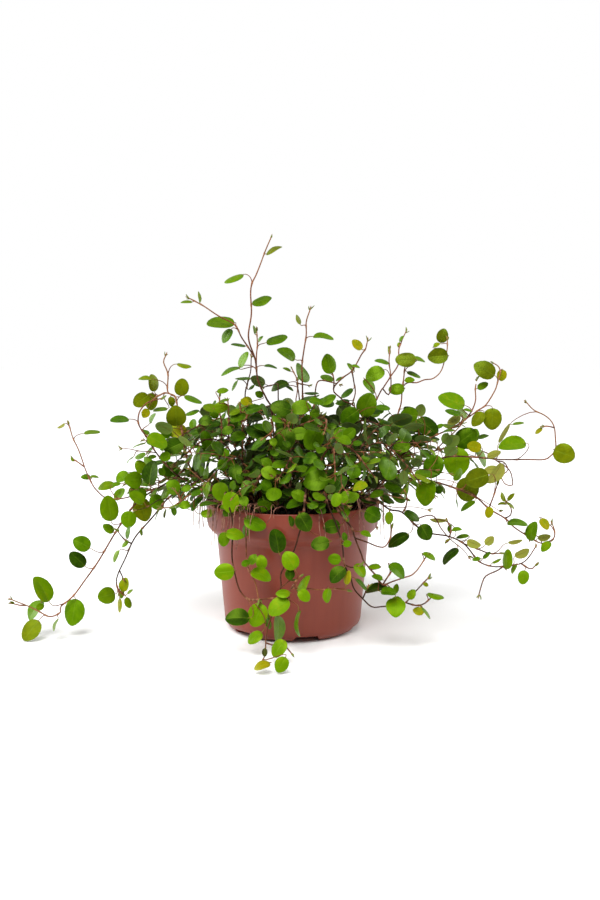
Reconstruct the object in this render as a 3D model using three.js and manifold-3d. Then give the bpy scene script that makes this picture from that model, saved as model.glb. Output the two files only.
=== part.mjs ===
// A wire vine growing in a terracotta-coloured plastic nursery pot.
// Millimetres, +Z up. The origin is the centre of the pot's flat underside.

import * as THREE from 'three';
import { mergeVertices } from 'three/addons/utils/BufferGeometryUtils.js';
import Module from 'manifold-3d';

const wasm = await Module();
wasm.setup();

// Pot: a 12 cm nursery pot with a wide collar
const RIM_RADIUS = 60;
const POT_HEIGHT = 89;
const COLLAR_HEIGHT = 17;
const COLLAR_TAPER = 1.2;
const COLLAR_SLOPE = 6;
const BODY_TOP_RADIUS = 52.6;
const BODY_FOOT_RADIUS = 47.6;
const FOOT_CORNER = 9;
const WALL = 1.3;
const LIP_ROUND = 0.6;
const POT_SEGMENTS = 32;
const FOOT_ARC_TURNS = [0, 22.5, 45, 67.5, 90];

// Drainage channels pressed up into the underside, and the hole in each
const CHANNEL_COUNT = 6;
const CHANNEL_FIRST_ANGLE = -78;
const CHANNEL_INNER_END = 15;
const CHANNEL_OUTER_END = 66;
const CHANNEL_HEIGHT = 4.6;
const CHANNEL_FOOT_WIDTH = 20;
const CHANNEL_ROOF_WIDTH = 15;
const DRAIN_RADIUS = 3.2;
const DRAIN_DISTANCE = 30;
const DRAIN_SIDES = 8;

// Soil
const SOIL_HEIGHT = 79;
const SOIL_CROWN = 3;
const SOIL_GAP = 0.35;
const SOIL_CROWN_RADII = [44, 30, 15, 0];
const SOIL_WAVE = 0.3;
const SOIL_LUMP = 0.5;
const SOCKET_DEPTH = 8;
const SOCKET_GAP = 0.4;

// Stems
const STEM_SIDES = 4;
const TIP_RADIUS = 0.5;
const FORK_RADIUS = 0.65;
const TIP_BUD = 1.6;
const ROOTED_DEPTH = 7;
const COLLAR_OF_SHOOT = 6;
const FORK_JOINT = 2;
const RUN_END_SHARE = 0.06;

// Leaves: an outline is a row of [share of the length from the middle, half width as a share of the breadth]
const PETIOLE_RADIUS = 0.2;
const BLADE_THICKNESS = 0.9;
const BLADE_OUTLINE = [[-0.18, 0.48], [0.22, 0.38]];
const SMALL_BLADE = 13;
const SMALL_BLADE_OUTLINE = [[0.02, 0.5]];
const LONGEST_OVER_BROADEST = 1.08;
const BROADEST_OVER_LONGEST = 0.8;
const SMALLEST_SOLID_LEAF = 8;
const LEAF_STAGGER = 3;
const DEPTH_SHIFTS = [0, -4, 4, -8, 8, -12, 12, -16, 16, -22, 22];
const EDGE_POINTS = 8;
const FOLDED_BACK = 0.3;

// Clearances
const SURFACE_CLEARANCE = 0.4;
const LEAF_TO_POT = 1;
const STEM_TO_POT = 1.5;
const BLADE_CLEARANCE = 1.3;
const EDGE_CLEARANCE = 0.9;
const STEM_CLEARANCE = 0.5;
const FAR_APART = 3;
const ROD_SAMPLES = 6;
const SAME_POINT = 1e-4;
const PAST_THE_FACE = 1;

// The eye that the front view is drawn for: the view lies on the upright plane through the pot's axis
const EYE = new THREE.Vector3(5, -750, 212);
const UP = new THREE.Vector3(0, 0, 1);

// Shoots read on the front view. A route or fork point is [right, up, depth behind the axis].
// A leaf is [right, up, heading of its tip in degrees, length seen, breadth seen].
// fore is how far a shoot's leaves stand in front of its stem.
const SHOOTS = [
  {
    name: 'tall_shoot',
    foot: [-10, 8],
    thickness: 1.9,
    fore: 0,
    route: [
      [-14, 146, 6], [-18, 159, 3], [-24, 173, 1], [-26, 187, -2], [-30, 202, -5], [-28, 219, -8],
      [-28, 235, -10], [-25, 243, -11], [-20, 254, -13], [-15, 267, -16],
    ],
    forks: [
      [[-26, 187, -2], [-34, 200, -7], [-39, 209, -11], [-50, 215, -14], [-60, 222, -17], [-70, 227, -19]],
      [[-26, 177, 0], [-25, 189, 2], [-24, 196, 3], [-24, 205, 3]],
    ],
    leaves: [
      [-13, 260, 30, 12, 3], [-40, 241, 200, 14, 4], [-21, 226, 20, 14, 6], [-49, 211, 180, 19, 8],
      [-11, 200, 20, 15, 6], [-45, 202, 235, 11, 6], [-34, 186, 65, 12, 5], [-43, 179, 200, 14, 3],
      [-15, 181, -10, 9, 2], [-63, 228, 95, 8, 2], [-72, 225, 180, 8, 2], [-26, 206, 100, 6, 2],
      [-22, 200, 55, 5, 2], [-37, 196, 170, 10, 2],
    ],
  },
  {
    name: 'dark_centre_shoot',
    foot: [-24, 16],
    thickness: 1.5,
    fore: 0,
    route: [
      [-32, 151, 14], [-31, 169, 21], [-29, 178, 25], [-28, 187, 29],
    ],
    forks: [],
    leaves: [
      [-34, 173, 180, 11, 2], [-40, 168, 240, 8, 2], [-23, 162, 150, 6, 5], [-28, 167, 40, 5, 2],
      [-31, 158, 150, 7, 5],
    ],
  },
  {
    name: 'centre_right_shoot',
    foot: [6, 0],
    thickness: 1.6,
    fore: 0,
    route: [
      [7, 147, 0], [7, 164, -4], [6, 179, -8], [8, 192, -11], [9, 202, -13], [9, 211, -16],
      [12, 219, -18],
    ],
    forks: [],
    leaves: [
      [4, 213, 110, 7, 3], [21, 201, -5, 14, 4], [-4, 190, 145, 14, 7], [13, 163, 0, 10, 2],
    ],
  },
  {
    name: 'pale_centre_shoot',
    foot: [0, 20],
    thickness: 1.1,
    fore: 0,
    route: [
      [2, 150, 18], [3, 162, 27], [3, 171, 34], [0, 179, 40],
    ],
    forks: [],
    leaves: [
      [-4, 179, 155, 6, 2], [4, 174, 60, 6, 2], [-9, 168, 200, 13, 6], [-2, 166, -30, 6, 2],
    ],
  },
  {
    name: 'left_upright_shoot',
    foot: [-36, 2],
    thickness: 1.7,
    fore: 0,
    route: [
      [-67, 106, 0], [-74, 124, 3], [-77, 141, 6], [-79, 155, 9], [-81, 161, 11], [-86, 164, 14],
      [-85, 176, 17], [-88, 184, 19], [-87, 188, 20],
    ],
    forks: [
      [[-81, 161, 11], [-87, 163, 16], [-92, 161, 17], [-96, 158, 17]],
    ],
    leaves: [
      [-74, 182, -10, 10, 3], [-95, 170, 95, 12, 7], [-104, 158, 215, 12, 10], [-97, 157, -95, 12, 9],
      [-101, 173, 175, 9, 3], [-76, 167, 80, 12, 10], [-83, 157, -80, 7, 5], [-68, 159, -20, 13, 4],
      [-80, 147, 95, 14, 14], [-80, 137, 185, 14, 10], [-101, 149, -120, 7, 6], [-91, 152, 185, 10, 3],
      [-69, 150, 20, 10, 3], [-87, 135, 220, 8, 7],
    ],
  },
  {
    name: 'left_hooked_shoot',
    foot: [-30, -10],
    thickness: 1.5,
    fore: 4,
    route: [
      [-71, 101, -10], [-85, 111, -18], [-93, 120, -22], [-100, 132, -27], [-106, 141, -31],
      [-106, 148, -32], [-103, 153, -32], [-98, 157, -32], [-91, 159, -31],
    ],
    forks: [],
    leaves: [
      [-93, 130, -30, 15, 10], [-82, 126, 205, 14, 11], [-98, 108, 80, 17, 11],
      [-105, 112, 120, 10, 8], [-88, 119, 200, 8, 7], [-97, 119, 10, 6, 3],
    ],
  },
  {
    name: 'far_left_shoot',
    foot: [-44, 14],
    thickness: 1.4,
    fore: -2,
    route: [
      [-67, 97, 12], [-85, 99, 19], [-104, 94, 26], [-117, 90, 30], [-129, 90, 33], [-136, 96, 35],
      [-140, 103, 35], [-144, 112, 36], [-148, 125, 38], [-151, 132, 40], [-154, 141, 42],
    ],
    forks: [
      [[-144, 112, 36], [-148, 115, 38], [-151, 117, 39]],
    ],
    leaves: [
      [-159, 140, 215, 6, 2], [-138, 136, 5, 11, 3], [-152, 117, 130, 3, 2], [-143, 105, 170, 7, 4],
      [-137, 105, -5, 6, 2], [-129, 99, 190, 12, 6], [-122, 100, 10, 6, 3], [-120, 93, 55, 10, 6],
    ],
  },
  {
    name: 'long_left_trailer',
    foot: [-48, -4],
    thickness: 1.8,
    fore: 2,
    route: [
      [-70, 110, -4], [-81, 104, -5], [-90, 99, -7], [-99, 94, -9], [-107, 88, -11], [-119, 73, -15],
      [-129, 56, -19], [-139, 41, -23], [-145, 32, -26], [-151, 24, -28], [-157, 18, -30],
      [-163, 13, -32], [-163, 9, -33], [-170, 6, -34], [-179, 10, -34], [-187, 14, -34],
      [-196, 18, -34],
    ],
    forks: [
      [[-187, 14, -34], [-191, 14, -35], [-195, 15, -36]],
    ],
    leaves: [
      [-175, 26, 115, 20, 12], [-154, 9, -100, 19, 14], [-184, -4, 230, 17, 12],
      [-181, 11, 230, 16, 8], [-167, 0, 245, 9, 2], [-177, 13, 20, 6, 5], [-147, 58, 150, 13, 11],
      [-150, 47, 135, 14, 10], [-127, 83, 95, 18, 13], [-128, 69, 140, 9, 6], [-114, 75, -95, 12, 11],
      [-104, 82, -70, 17, 13], [-94, 87, -60, 12, 10], [-104, 93, -80, 9, 6], [-110, 103, 180, 12, 12],
      [-118, 105, 215, 10, 7],
    ],
  },
  {
    name: 'left_forked_trailer',
    foot: [-38, -18],
    thickness: 1.7,
    fore: 3,
    route: [
      [-60, 104, -14], [-67, 101, -17], [-78, 96, -21], [-86, 90, -23], [-93, 82, -26],
      [-106, 67, -30], [-112, 58, -33], [-116, 50, -35], [-121, 39, -37], [-123, 31, -38],
      [-122, 24, -39],
    ],
    forks: [
      [[-112, 58, -33], [-116, 60, -34], [-119, 63, -35], [-121, 66, -36]],
      [[-121, 39, -37], [-119, 34, -40]],
    ],
    leaves: [
      [-130, 21, 190, 12, 12], [-118, 29, 80, 10, 7], [-122, 14, -95, 10, 3], [-115, 16, -70, 8, 5],
      [-114, 24, 40, 5, 2], [-120, 22, -100, 6, 4], [-115, 66, 80, 9, 3], [-117, 58, 225, 6, 3],
      [-123, 49, 245, 9, 3], [-105, 66, -85, 5, 2],
    ],
  },
  {
    name: 'left_low_shoot',
    foot: [-34, -26],
    thickness: 1.3,
    fore: 3,
    route: [
      [-57, 96, -26], [-64, 96, -32], [-72, 92, -35], [-77, 88, -38], [-84, 84, -40], [-91, 83, -43],
    ],
    forks: [
      [[-77, 88, -38], [-79, 92, -38], [-81, 95, -38]],
    ],
    leaves: [
      [-75, 85, 190, 8, 6], [-67, 94, 200, 8, 4], [-74, 97, 195, 7, 5], [-59, 80, 10, 10, 6],
      [-84, 94, 165, 7, 3],
    ],
  },
  {
    name: 'front_left_trailer',
    foot: [-30, -38],
    thickness: 1.5,
    fore: 5,
    route: [
      [-46, 94, -48], [-44, 85, -55], [-42, 73, -57], [-42, 57, -57], [-42, 44, -58], [-40, 33, -60],
      [-37, 25, -62], [-32, 19, -64], [-26, 18, -66], [-17, 19, -68], [-9, 19, -69], [-3, 19, -70],
      [-1, 26, -70], [9, 26, -70], [20, 25, -69], [29, 26, -67], [37, 25, -65],
    ],
    forks: [
      [[-32, 80, -54], [-33, 64, -57], [-31, 41, -62], [-27, 31, -65], [-24, 19, -67]],
      [[-1, 26, -70], [2, 31, -72], [5, 34, -72]],
    ],
    leaves: [
      [-48, 38, 185, 14, 12], [-22, 36, -20, 15, 9], [-22, 45, 100, 10, 8], [-33, 44, 200, 6, 5],
      [-28, 47, 60, 8, 6], [-2, 46, 120, 14, 12], [-39, 5, 180, 17, 12], [-25, 7, 250, 17, 14],
      [-10, 13, 215, 17, 12], [-10, -3, -90, 19, 8], [3, 1, -95, 18, 3], [-7, 23, 180, 10, 6],
      [-27, -9, 215, 12, 8], [7, 27, 75, 18, 6], [8, 21, -50, 10, 8], [24, 21, -100, 10, 6],
      [38, 34, 80, 10, 5], [-40, 65, -10, 13, 8], [-48, 61, -95, 10, 8], [-26, 73, -20, 16, 10],
      [-33, 67, -95, 9, 5], [-43, 87, -95, 15, 12], [-40, 84, -35, 10, 6], [-17, 3, -75, 12, 5],
      [-33, 83, -60, 7, 6],
    ],
  },
  {
    name: 'front_ground_trailer',
    foot: [2, -42],
    thickness: 1.7,
    fore: 4,
    route: [
      [9, 97, -52], [8, 85, -61], [5, 67, -65], [1, 53, -66], [-8, 38, -68], [-8, 27, -69],
      [-12, 16, -71], [-17, 0, -73], [-19, -13, -78], [-20, -22, -92], [-22, -28, -104],
    ],
    forks: [
      [[-19, -13, -78], [-13, -15, -82], [-6, -15, -86], [-1, -20, -90]],
      [[-8, 27, -69], [-2, 32, -70]],
    ],
    leaves: [
      [8, 73, -60, 14, 12], [-11, 60, 100, 17, 12], [19, 58, 190, 13, 10], [-10, -17, 235, 14, 10],
      [-8, -29, 240, 12, 10], [-22, -29, 195, 12, 6], [-18, -36, -90, 11, 10], [-1, 74, 100, 8, 4],
      [-2, 36, -90, 8, 7], [-20, -20, -95, 6, 4], [4, 92, 150, 11, 8], [1, 86, 195, 12, 6],
    ],
  },
  {
    name: 'right_front_trailer',
    foot: [24, -38],
    thickness: 1.7,
    fore: 4,
    route: [
      [26, 93, -48], [31, 83, -56], [40, 70, -60], [43, 62, -60], [48, 51, -59], [50, 45, -58],
      [57, 36, -56], [63, 29, -54], [70, 31, -52], [78, 34, -50], [83, 36, -48], [88, 41, -46],
      [93, 48, -44],
    ],
    forks: [
      [[63, 29, -54], [66, 34, -55], [69, 39, -56]],
      [[43, 62, -60], [52, 59, -58], [59, 56, -54], [64, 56, -50], [68, 62, -46], [69, 68, -44]],
    ],
    leaves: [
      [72, 13, -90, 13, 14], [58, 26, 190, 15, 6], [67, 24, 0, 11, 6], [72, 26, 80, 7, 4],
      [73, 39, -40, 14, 8], [57, 42, 180, 8, 4], [59, 34, 160, 8, 4], [95, 49, -25, 10, 4],
      [51, 65, -20, 8, 4], [27, 70, 190, 12, 10], [29, 78, -80, 8, 6], [56, 78, -25, 12, 12],
      [67, 76, -90, 9, 6], [37, 80, -110, 6, 5],
    ],
  },
  {
    name: 'right_lower_trailer',
    foot: [14, -44],
    thickness: 1.4,
    fore: 4,
    route: [
      [20, 96, -54], [26, 82, -62], [31, 68, -65], [35, 56, -65], [36, 43, -65], [40, 34, -64],
      [43, 26, -63], [49, 19, -62], [55, 13, -61], [62, 13, -60], [71, 14, -59], [79, 16, -58],
      [84, 22, -57], [90, 29, -56], [94, 33, -55],
    ],
    forks: [
      [[49, 19, -62], [51, 24, -63], [52, 26, -63]],
      [[79, 16, -58], [86, 14, -57], [91, 15, -55], [96, 19, -54]],
      [[36, 43, -65], [41, 41, -64], [45, 42, -63]],
    ],
    leaves: [
      [38, 58, 10, 6, 5], [29, 47, 170, 9, 8], [31, 36, 225, 14, 10], [47, 39, -50, 11, 7],
      [48, 29, -45, 11, 3], [88, 10, 170, 8, 6], [94, 9, -50, 10, 2], [100, 21, -10, 12, 4],
      [83, 22, 60, 8, 6], [93, 29, -30, 4, 3], [73, 17, 10, 8, 7], [36, 63, 100, 6, 4],
    ],
  },
  {
    name: 'right_forked_trailer',
    foot: [38, -26],
    thickness: 1.8,
    fore: 3,
    route: [
      [41, 93, -34], [50, 90, -40], [60, 87, -42], [67, 82, -42], [76, 80, -41], [89, 68, -40],
      [97, 65, -40], [109, 63, -41], [119, 58, -40], [129, 46, -40], [139, 42, -41], [148, 42, -42],
      [159, 44, -43], [165, 49, -43], [169, 55, -43],
    ],
    forks: [
      [[147, 42, -42], [143, 39, -42], [135, 35, -42], [132, 29, -44], [130, 22, -44]],
      [[159, 44, -43], [166, 40, -45], [169, 42, -45]],
      [[119, 58, -40], [129, 54, -37], [137, 51, -34], [144, 51, -34]],
      [[109, 63, -41], [110, 68, -38], [108, 73, -36]],
      [[76, 80, -41], [78, 83, -44], [79, 89, -45], [78, 93, -45]],
    ],
    leaves: [
      [92, 66, -60, 12, 11], [73, 61, 210, 17, 8], [83, 78, -30, 12, 6], [109, 50, 225, 15, 6],
      [126, 58, -20, 10, 6], [118, 63, 190, 9, 3], [137, 60, 45, 8, 6], [149, 47, 90, 14, 7],
      [161, 34, -100, 10, 8], [160, 51, 25, 11, 6], [155, 59, 10, 10, 3], [135, 50, 45, 7, 3],
      [128, 47, 190, 6, 3], [142, 46, 30, 7, 2], [154, 40, 240, 7, 3], [101, 74, 180, 12, 3],
      [114, 68, 10, 7, 3], [109, 69, 80, 6, 3],
    ],
  },
  {
    name: 'right_trailer',
    foot: [46, -14],
    thickness: 1.7,
    fore: 3,
    route: [
      [69, 107, -18], [81, 104, -21], [95, 102, -23], [110, 98, -25], [126, 91, -26], [136, 83, -27],
      [147, 76, -27], [153, 70, -27], [161, 65, -27], [173, 58, -28], [170, 63, -25], [165, 65, -23],
    ],
    forks: [
      [[147, 76, -27], [151, 78, -28], [151, 83, -27], [147, 89, -27]],
      [[173, 58, -28], [179, 60, -29], [182, 63, -30], [182, 68, -30], [181, 71, -30]],
      [[136, 83, -27], [139, 91, -25], [141, 99, -23]],
    ],
    leaves: [
      [166, 67, 80, 14, 8], [156, 73, 0, 14, 5], [175, 72, -50, 9, 6], [175, 62, 10, 9, 5],
      [176, 56, 225, 9, 6], [136, 80, -100, 8, 6], [151, 91, 50, 7, 3], [145, 86, 180, 6, 2],
      [151, 85, -35, 7, 2], [146, 91, 110, 7, 3], [121, 85, 215, 12, 4], [121, 96, -100, 17, 16],
      [127, 104, 200, 17, 14], [140, 107, 235, 17, 8], [137, 110, 190, 10, 6], [92, 94, -100, 19, 14],
      [101, 96, 20, 6, 6], [70, 98, -20, 14, 6],
    ],
  },
  {
    name: 'far_right_shoot',
    foot: [46, 2],
    thickness: 1.6,
    fore: 2,
    route: [
      [80, 110, 3], [95, 115, 7], [108, 119, 10], [121, 119, 12], [133, 118, 14], [145, 117, 16],
      [164, 117, 18], [173, 117, 20], [177, 119, 21], [181, 124, 21], [181, 132, 21], [180, 139, 20],
      [177, 144, 20], [172, 148, 18], [166, 151, 17], [161, 156, 16],
    ],
    forks: [
      [[180, 139, 20], [176, 140, 20], [173, 140, 20]],
    ],
    leaves: [
      [187, 121, -20, 15, 14], [169, 137, 220, 6, 3], [151, 128, 185, 19, 10], [146, 135, 60, 15, 3],
      [155, 142, 10, 8, 2], [113, 115, -90, 21, 18], [97, 112, -110, 17, 14], [130, 119, -60, 15, 5],
      [139, 120, 20, 10, 5], [125, 126, 170, 10, 8],
    ],
  },
  {
    name: 'right_loop_shoot',
    foot: [40, 6],
    thickness: 1.3,
    fore: 0,
    route: [
      [82, 115, 10], [101, 124, 22], [117, 125, 30], [133, 122, 37], [141, 116, 40], [149, 110, 43],
      [152, 103, 44], [152, 99, 43], [147, 100, 40], [144, 104, 38],
    ],
    forks: [
      [[141, 116, 40], [146, 115, 45], [149, 110, 47], [146, 107, 47]],
    ],
    leaves: [
      [119, 132, 40, 17, 14], [86, 130, 200, 12, 10], [75, 126, 190, 12, 9], [106, 133, 20, 6, 2],
      [131, 133, 15, 8, 3],
    ],
  },
  {
    name: 'right_upper_shoot',
    foot: [42, 16],
    thickness: 1.6,
    fore: 1,
    route: [
      [82, 126, 16], [94, 132, 20], [101, 135, 21], [108, 138, 23], [115, 142, 25], [120, 146, 27],
      [127, 151, 29], [133, 155, 30], [138, 164, 32], [140, 171, 33], [142, 177, 35], [141, 181, 35],
      [138, 183, 35],
    ],
    forks: [
      [[120, 146, 27], [123, 151, 30], [125, 158, 33], [125, 165, 34], [126, 171, 36]],
      [[88, 115, 22], [101, 126, 24], [110, 135, 25], [116, 142, 26]],
    ],
    leaves: [
      [131, 179, 150, 16, 12], [143, 175, -95, 8, 7], [137, 145, -90, 15, 13], [109, 158, 160, 19, 11],
      [127, 145, 230, 12, 8], [130, 168, 30, 8, 5], [110, 150, 165, 11, 4], [111, 144, 215, 10, 6],
      [120, 151, -10, 6, 2], [101, 140, 30, 6, 3], [107, 137, 185, 8, 2], [93, 140, -35, 17, 12],
      [80, 148, 175, 12, 10],
    ],
  },
  {
    name: 'right_arching_shoot',
    foot: [34, 22],
    thickness: 1.5,
    fore: 0,
    route: [
      [77, 136, 24], [72, 144, 29], [74, 155, 34], [75, 166, 39], [79, 170, 40], [85, 170, 41],
      [90, 172, 43], [96, 173, 43], [102, 179, 47], [105, 191, 52], [105, 199, 55],
    ],
    forks: [
      [[75, 166, 39], [76, 175, 42], [77, 181, 45]],
    ],
    leaves: [
      [99, 188, 185, 14, 11], [102, 202, 75, 10, 8], [77, 186, 180, 14, 10], [85, 186, -5, 11, 3],
      [80, 172, 5, 7, 4], [83, 176, -20, 10, 3], [71, 166, 185, 11, 8], [98, 196, 30, 5, 3],
    ],
  },
  {
    name: 'right_back_shoot',
    foot: [26, 26],
    thickness: 1.4,
    fore: 0,
    route: [
      [57, 157, 20], [62, 167, 28], [67, 174, 33], [72, 182, 39], [72, 192, 45], [74, 197, 49],
      [77, 204, 54],
    ],
    forks: [
      [[66, 162, 29], [67, 175, 36], [66, 185, 43], [66, 193, 48]],
    ],
    leaves: [
      [61, 185, 165, 10, 3], [56, 176, 205, 14, 10], [53, 168, -50, 12, 6], [66, 192, 95, 6, 2],
      [74, 200, 60, 5, 2], [72, 196, 80, 3, 2],
    ],
  },
  {
    name: 'right_centre_shoot',
    foot: [18, 14],
    thickness: 1.5,
    fore: 0,
    route: [
      [43, 146, 10], [34, 158, 8], [28, 165, 7], [34, 173, 7], [40, 178, 6], [47, 189, 3],
      [50, 193, 1], [51, 198, 0],
    ],
    forks: [
      [[41, 178, 6], [42, 171, 9], [43, 164, 12], [41, 157, 14]],
      [[28, 165, 7], [28, 172, 5], [27, 177, 3]],
    ],
    leaves: [
      [44, 196, 135, 9, 6], [40, 181, 130, 7, 3], [25, 183, 100, 14, 10], [32, 173, 200, 6, 2],
      [37, 163, 215, 10, 4], [43, 181, -10, 6, 2], [39, 147, 215, 14, 12], [51, 155, 70, 17, 14],
      [62, 153, -5, 10, 4], [34, 157, 190, 10, 4],
    ],
  },
  {
    name: 'crown_left_shoot',
    foot: [-28, 8],
    thickness: 1.4,
    fore: 2,
    route: [
      [-49, 110, 4], [-49, 127, -2], [-49, 141, -7], [-50, 151, -11], [-50, 160, -13],
    ],
    forks: [
      [[-45, 137, -7], [-44, 148, -13], [-44, 157, -16]],
    ],
    leaves: [
      [-49, 153, 10, 10, 8], [-48, 165, 10, 8, 4], [-60, 144, 185, 10, 7], [-53, 142, 10, 8, 4],
      [-47, 158, 20, 7, 2], [-55, 139, 190, 10, 3], [-38, 146, 20, 11, 6], [-41, 142, -60, 8, 6],
      [-45, 137, 200, 8, 6], [-60, 131, 100, 12, 8],
    ],
  },
  {
    name: 'crown_mid_left_shoot',
    foot: [-18, 2],
    thickness: 1.4,
    fore: 3,
    route: [
      [-34, 112, 0], [-34, 127, -7], [-35, 141, -13], [-36, 154, -18],
    ],
    forks: [
      [[-33, 144, -14], [-29, 150, -14], [-21, 151, -12]],
    ],
    leaves: [
      [-33, 157, 150, 6, 5], [-29, 155, -20, 10, 3], [-27, 152, 20, 12, 6], [-40, 150, 200, 8, 4],
      [-25, 146, 170, 10, 4], [-38, 133, 190, 11, 7],
    ],
  },
  {
    name: 'crown_mid_shoot',
    foot: [-2, -10],
    thickness: 1.4,
    fore: 4,
    route: [
      [-3, 117, -12], [-2, 131, -17], [0, 144, -22], [-2, 153, -24],
    ],
    forks: [
      [[-1, 137, -20], [8, 142, -23], [19, 146, -25]],
    ],
    leaves: [
      [-8, 153, 165, 15, 11], [6, 153, 10, 14, 10], [16, 157, -10, 10, 5], [24, 159, 30, 12, 6],
      [15, 149, 190, 7, 6], [21, 141, -70, 10, 7], [-5, 148, -60, 9, 6], [4, 135, 185, 12, 9],
    ],
  },
];

// Shoots of the crown and the back, grown by rule.
// Each is [direction round the pot, distance of its foot from the axis, reach, rise, fall from its top].
const CROWN_SHOOTS = [
  [-100, 30, 26, 40, 14], [-76, 32, 24, 26, 6], [-58, 34, 30, 42, 18], [-124, 34, 28, 34, 12],
  [-42, 30, 44, 44, 20], [-142, 30, 42, 40, 16], [-88, 14, 26, 62, 6], [-112, 22, 24, 55, 6],
  [-66, 22, 26, 66, 8], [-20, 32, 58, 50, 24], [0, 24, 50, 64, 12], [20, 34, 62, 56, 20],
  [-164, 30, 52, 48, 18], [176, 28, 58, 58, 14], [154, 32, 66, 50, 18], [42, 30, 58, 60, 26],
  [64, 34, 52, 50, 28], [84, 28, 54, 62, 26], [106, 36, 56, 52, 30], [130, 32, 60, 58, 26],
  [72, 10, 22, 78, 2], [122, 12, 28, 84, 3], [-172, 8, 16, 74, 2], [30, 14, 26, 80, 3],
  [76, 42, 52, 32, 76], [112, 44, 48, 30, 66], [48, 42, 60, 30, 58],
];
const CROWN_THICKNESS = 1.5;
const CROWN_STEPS = 6;
const CROWN_TOP_AT = 0.6;
const CROWN_OUTREACH_POWER = 1.3;
const CROWN_DROP_POWER = 1.5;
const CROWN_SWAY = 5;
const CROWN_LIFT = [0.9, 1.1];
const CROWN_DIRECTION_SPREAD = 16;
const CROWN_FOOT_SPREAD = 50;
const CROWN_SHOOT_TRIES = 40;
const FOOT_SPACING = 4;
const ROUTE_SAMPLES = [0.25, 0.5, 0.75, 1];

// Leaves of the crown: sizes in millimetres, droop and tilt as slopes, turns round the stem in degrees
const CROWN_LEAF_SPACING = 21;
const CROWN_LEAF_LOWEST = 95;
const CROWN_LEAF_LENGTHS = [9, 17];
const CROWN_ROUNDNESS = [0.8, 0.96];
const CROWN_PETIOLES = [3, 7];
const CROWN_DROOP = [0.5, -0.4];
const CROWN_TILT = [-0.4, 0.4];
const CROWN_LEAF_LEAN = 0.2;
const CROWN_LIGHT_UP = 0.75;
const CROWN_LIGHT_OUT = 0.6;
const CROWN_TURNS = [0, 50, -50, 100, -100, 150, -150];
const LEAF_SPIRAL = 137.5;

const SEED = 4711;
let chanceState = SEED;

const degrees = (angle) => (angle * Math.PI) / 180;

// Repeatable chance, one number between 0 and 1 a call
function chance() {
  chanceState = (chanceState * 16807) % 2147483647;
  return chanceState / 2147483647;
}

// Closed solids

function signedVolume(vertices, triangles) {
  let sum = 0;
  for (let i = 0; i < triangles.length; i += 3) {
    const [a, b, c] = [0, 1, 2].map((k) => new THREE.Vector3().fromArray(vertices, 3 * triangles[i + k]));
    sum += a.dot(b.cross(c));
  }
  return sum / 6;
}

function toSolid(vertices, triangles) {
  if (signedVolume(vertices, triangles) < 0) {
    for (let i = 0; i < triangles.length; i += 3) {
      [triangles[i], triangles[i + 1]] = [triangles[i + 1], triangles[i]];
    }
  }
  const vertProperties = Float32Array.from(vertices);
  const triVerts = Uint32Array.from(triangles);
  return new wasm.Manifold(new wasm.Mesh({ numProp: 3, vertProperties, triVerts }));
}

function solidOf(geometry) {
  geometry.deleteAttribute('normal');
  geometry.deleteAttribute('uv');
  const merged = mergeVertices(geometry, SAME_POINT);
  const index = merged.index.array;
  const triangles = [];
  for (let i = 0; i < index.length; i += 3) {
    const [a, b, c] = [index[i], index[i + 1], index[i + 2]];
    if (a !== b && b !== c && c !== a) {
      triangles.push(a, b, c);
    }
  }
  return toSolid(Array.from(merged.attributes.position.array), triangles);
}

// A skin over rings of points, from end to end; an end may be a single point
function loft(rings) {
  const starts = [];
  const vertices = [];
  for (const ring of rings) {
    starts.push(vertices.length / 3);
    for (const point of ring) {
      vertices.push(point.x, point.y, point.z);
    }
  }
  const triangles = [];
  for (let k = 0; k + 1 < rings.length; k += 1) {
    const [near, far] = [rings[k].length, rings[k + 1].length];
    const sides = Math.max(near, far);
    for (let i = 0; i < sides; i += 1) {
      const j = (i + 1) % sides;
      if (near > 1) {
        triangles.push(starts[k] + i, starts[k] + j, starts[k + 1] + (far > 1 ? j : 0));
      }
      if (far > 1) {
        triangles.push(starts[k] + (near > 1 ? i : 0), starts[k + 1] + j, starts[k + 1] + i);
      }
    }
  }
  const last = rings.length - 1;
  for (let i = 1; i + 1 < rings[0].length; i += 1) {
    triangles.push(starts[0], starts[0] + i + 1, starts[0] + i);
  }
  for (let i = 1; i + 1 < rings[last].length; i += 1) {
    triangles.push(starts[last], starts[last] + i, starts[last] + i + 1);
  }
  return toSolid(vertices, triangles);
}

function geometryOf(solid) {
  const mesh = solid.getMesh();
  const geometry = new THREE.BufferGeometry();
  geometry.setAttribute('position', new THREE.BufferAttribute(Float32Array.from(mesh.vertProperties), 3));
  geometry.setIndex(new THREE.BufferAttribute(Uint32Array.from(mesh.triVerts), 1));
  geometry.computeVertexNormals();
  return geometry;
}

function turned(profile) {
  const geometry = new THREE.LatheGeometry(profile.map(([r, z]) => new THREE.Vector2(r, z)), POT_SEGMENTS);
  geometry.rotateX(Math.PI / 2);
  return solidOf(geometry);
}

// Pot

function footArc(radius, level, corner) {
  const points = [];
  for (const turn of FOOT_ARC_TURNS) {
    const [c, s] = [Math.cos(degrees(turn)), Math.sin(degrees(turn))];
    points.push([radius - corner + corner * s, level + corner - corner * c]);
  }
  return points;
}

function outerProfile() {
  const collarFoot = POT_HEIGHT - COLLAR_HEIGHT;
  return [
    [0, 0], ...footArc(BODY_FOOT_RADIUS, 0, FOOT_CORNER),
    [BODY_TOP_RADIUS, collarFoot - COLLAR_SLOPE], [RIM_RADIUS - COLLAR_TAPER, collarFoot],
    [RIM_RADIUS, POT_HEIGHT - LIP_ROUND], [RIM_RADIUS - LIP_ROUND, POT_HEIGHT],
  ];
}

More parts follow.
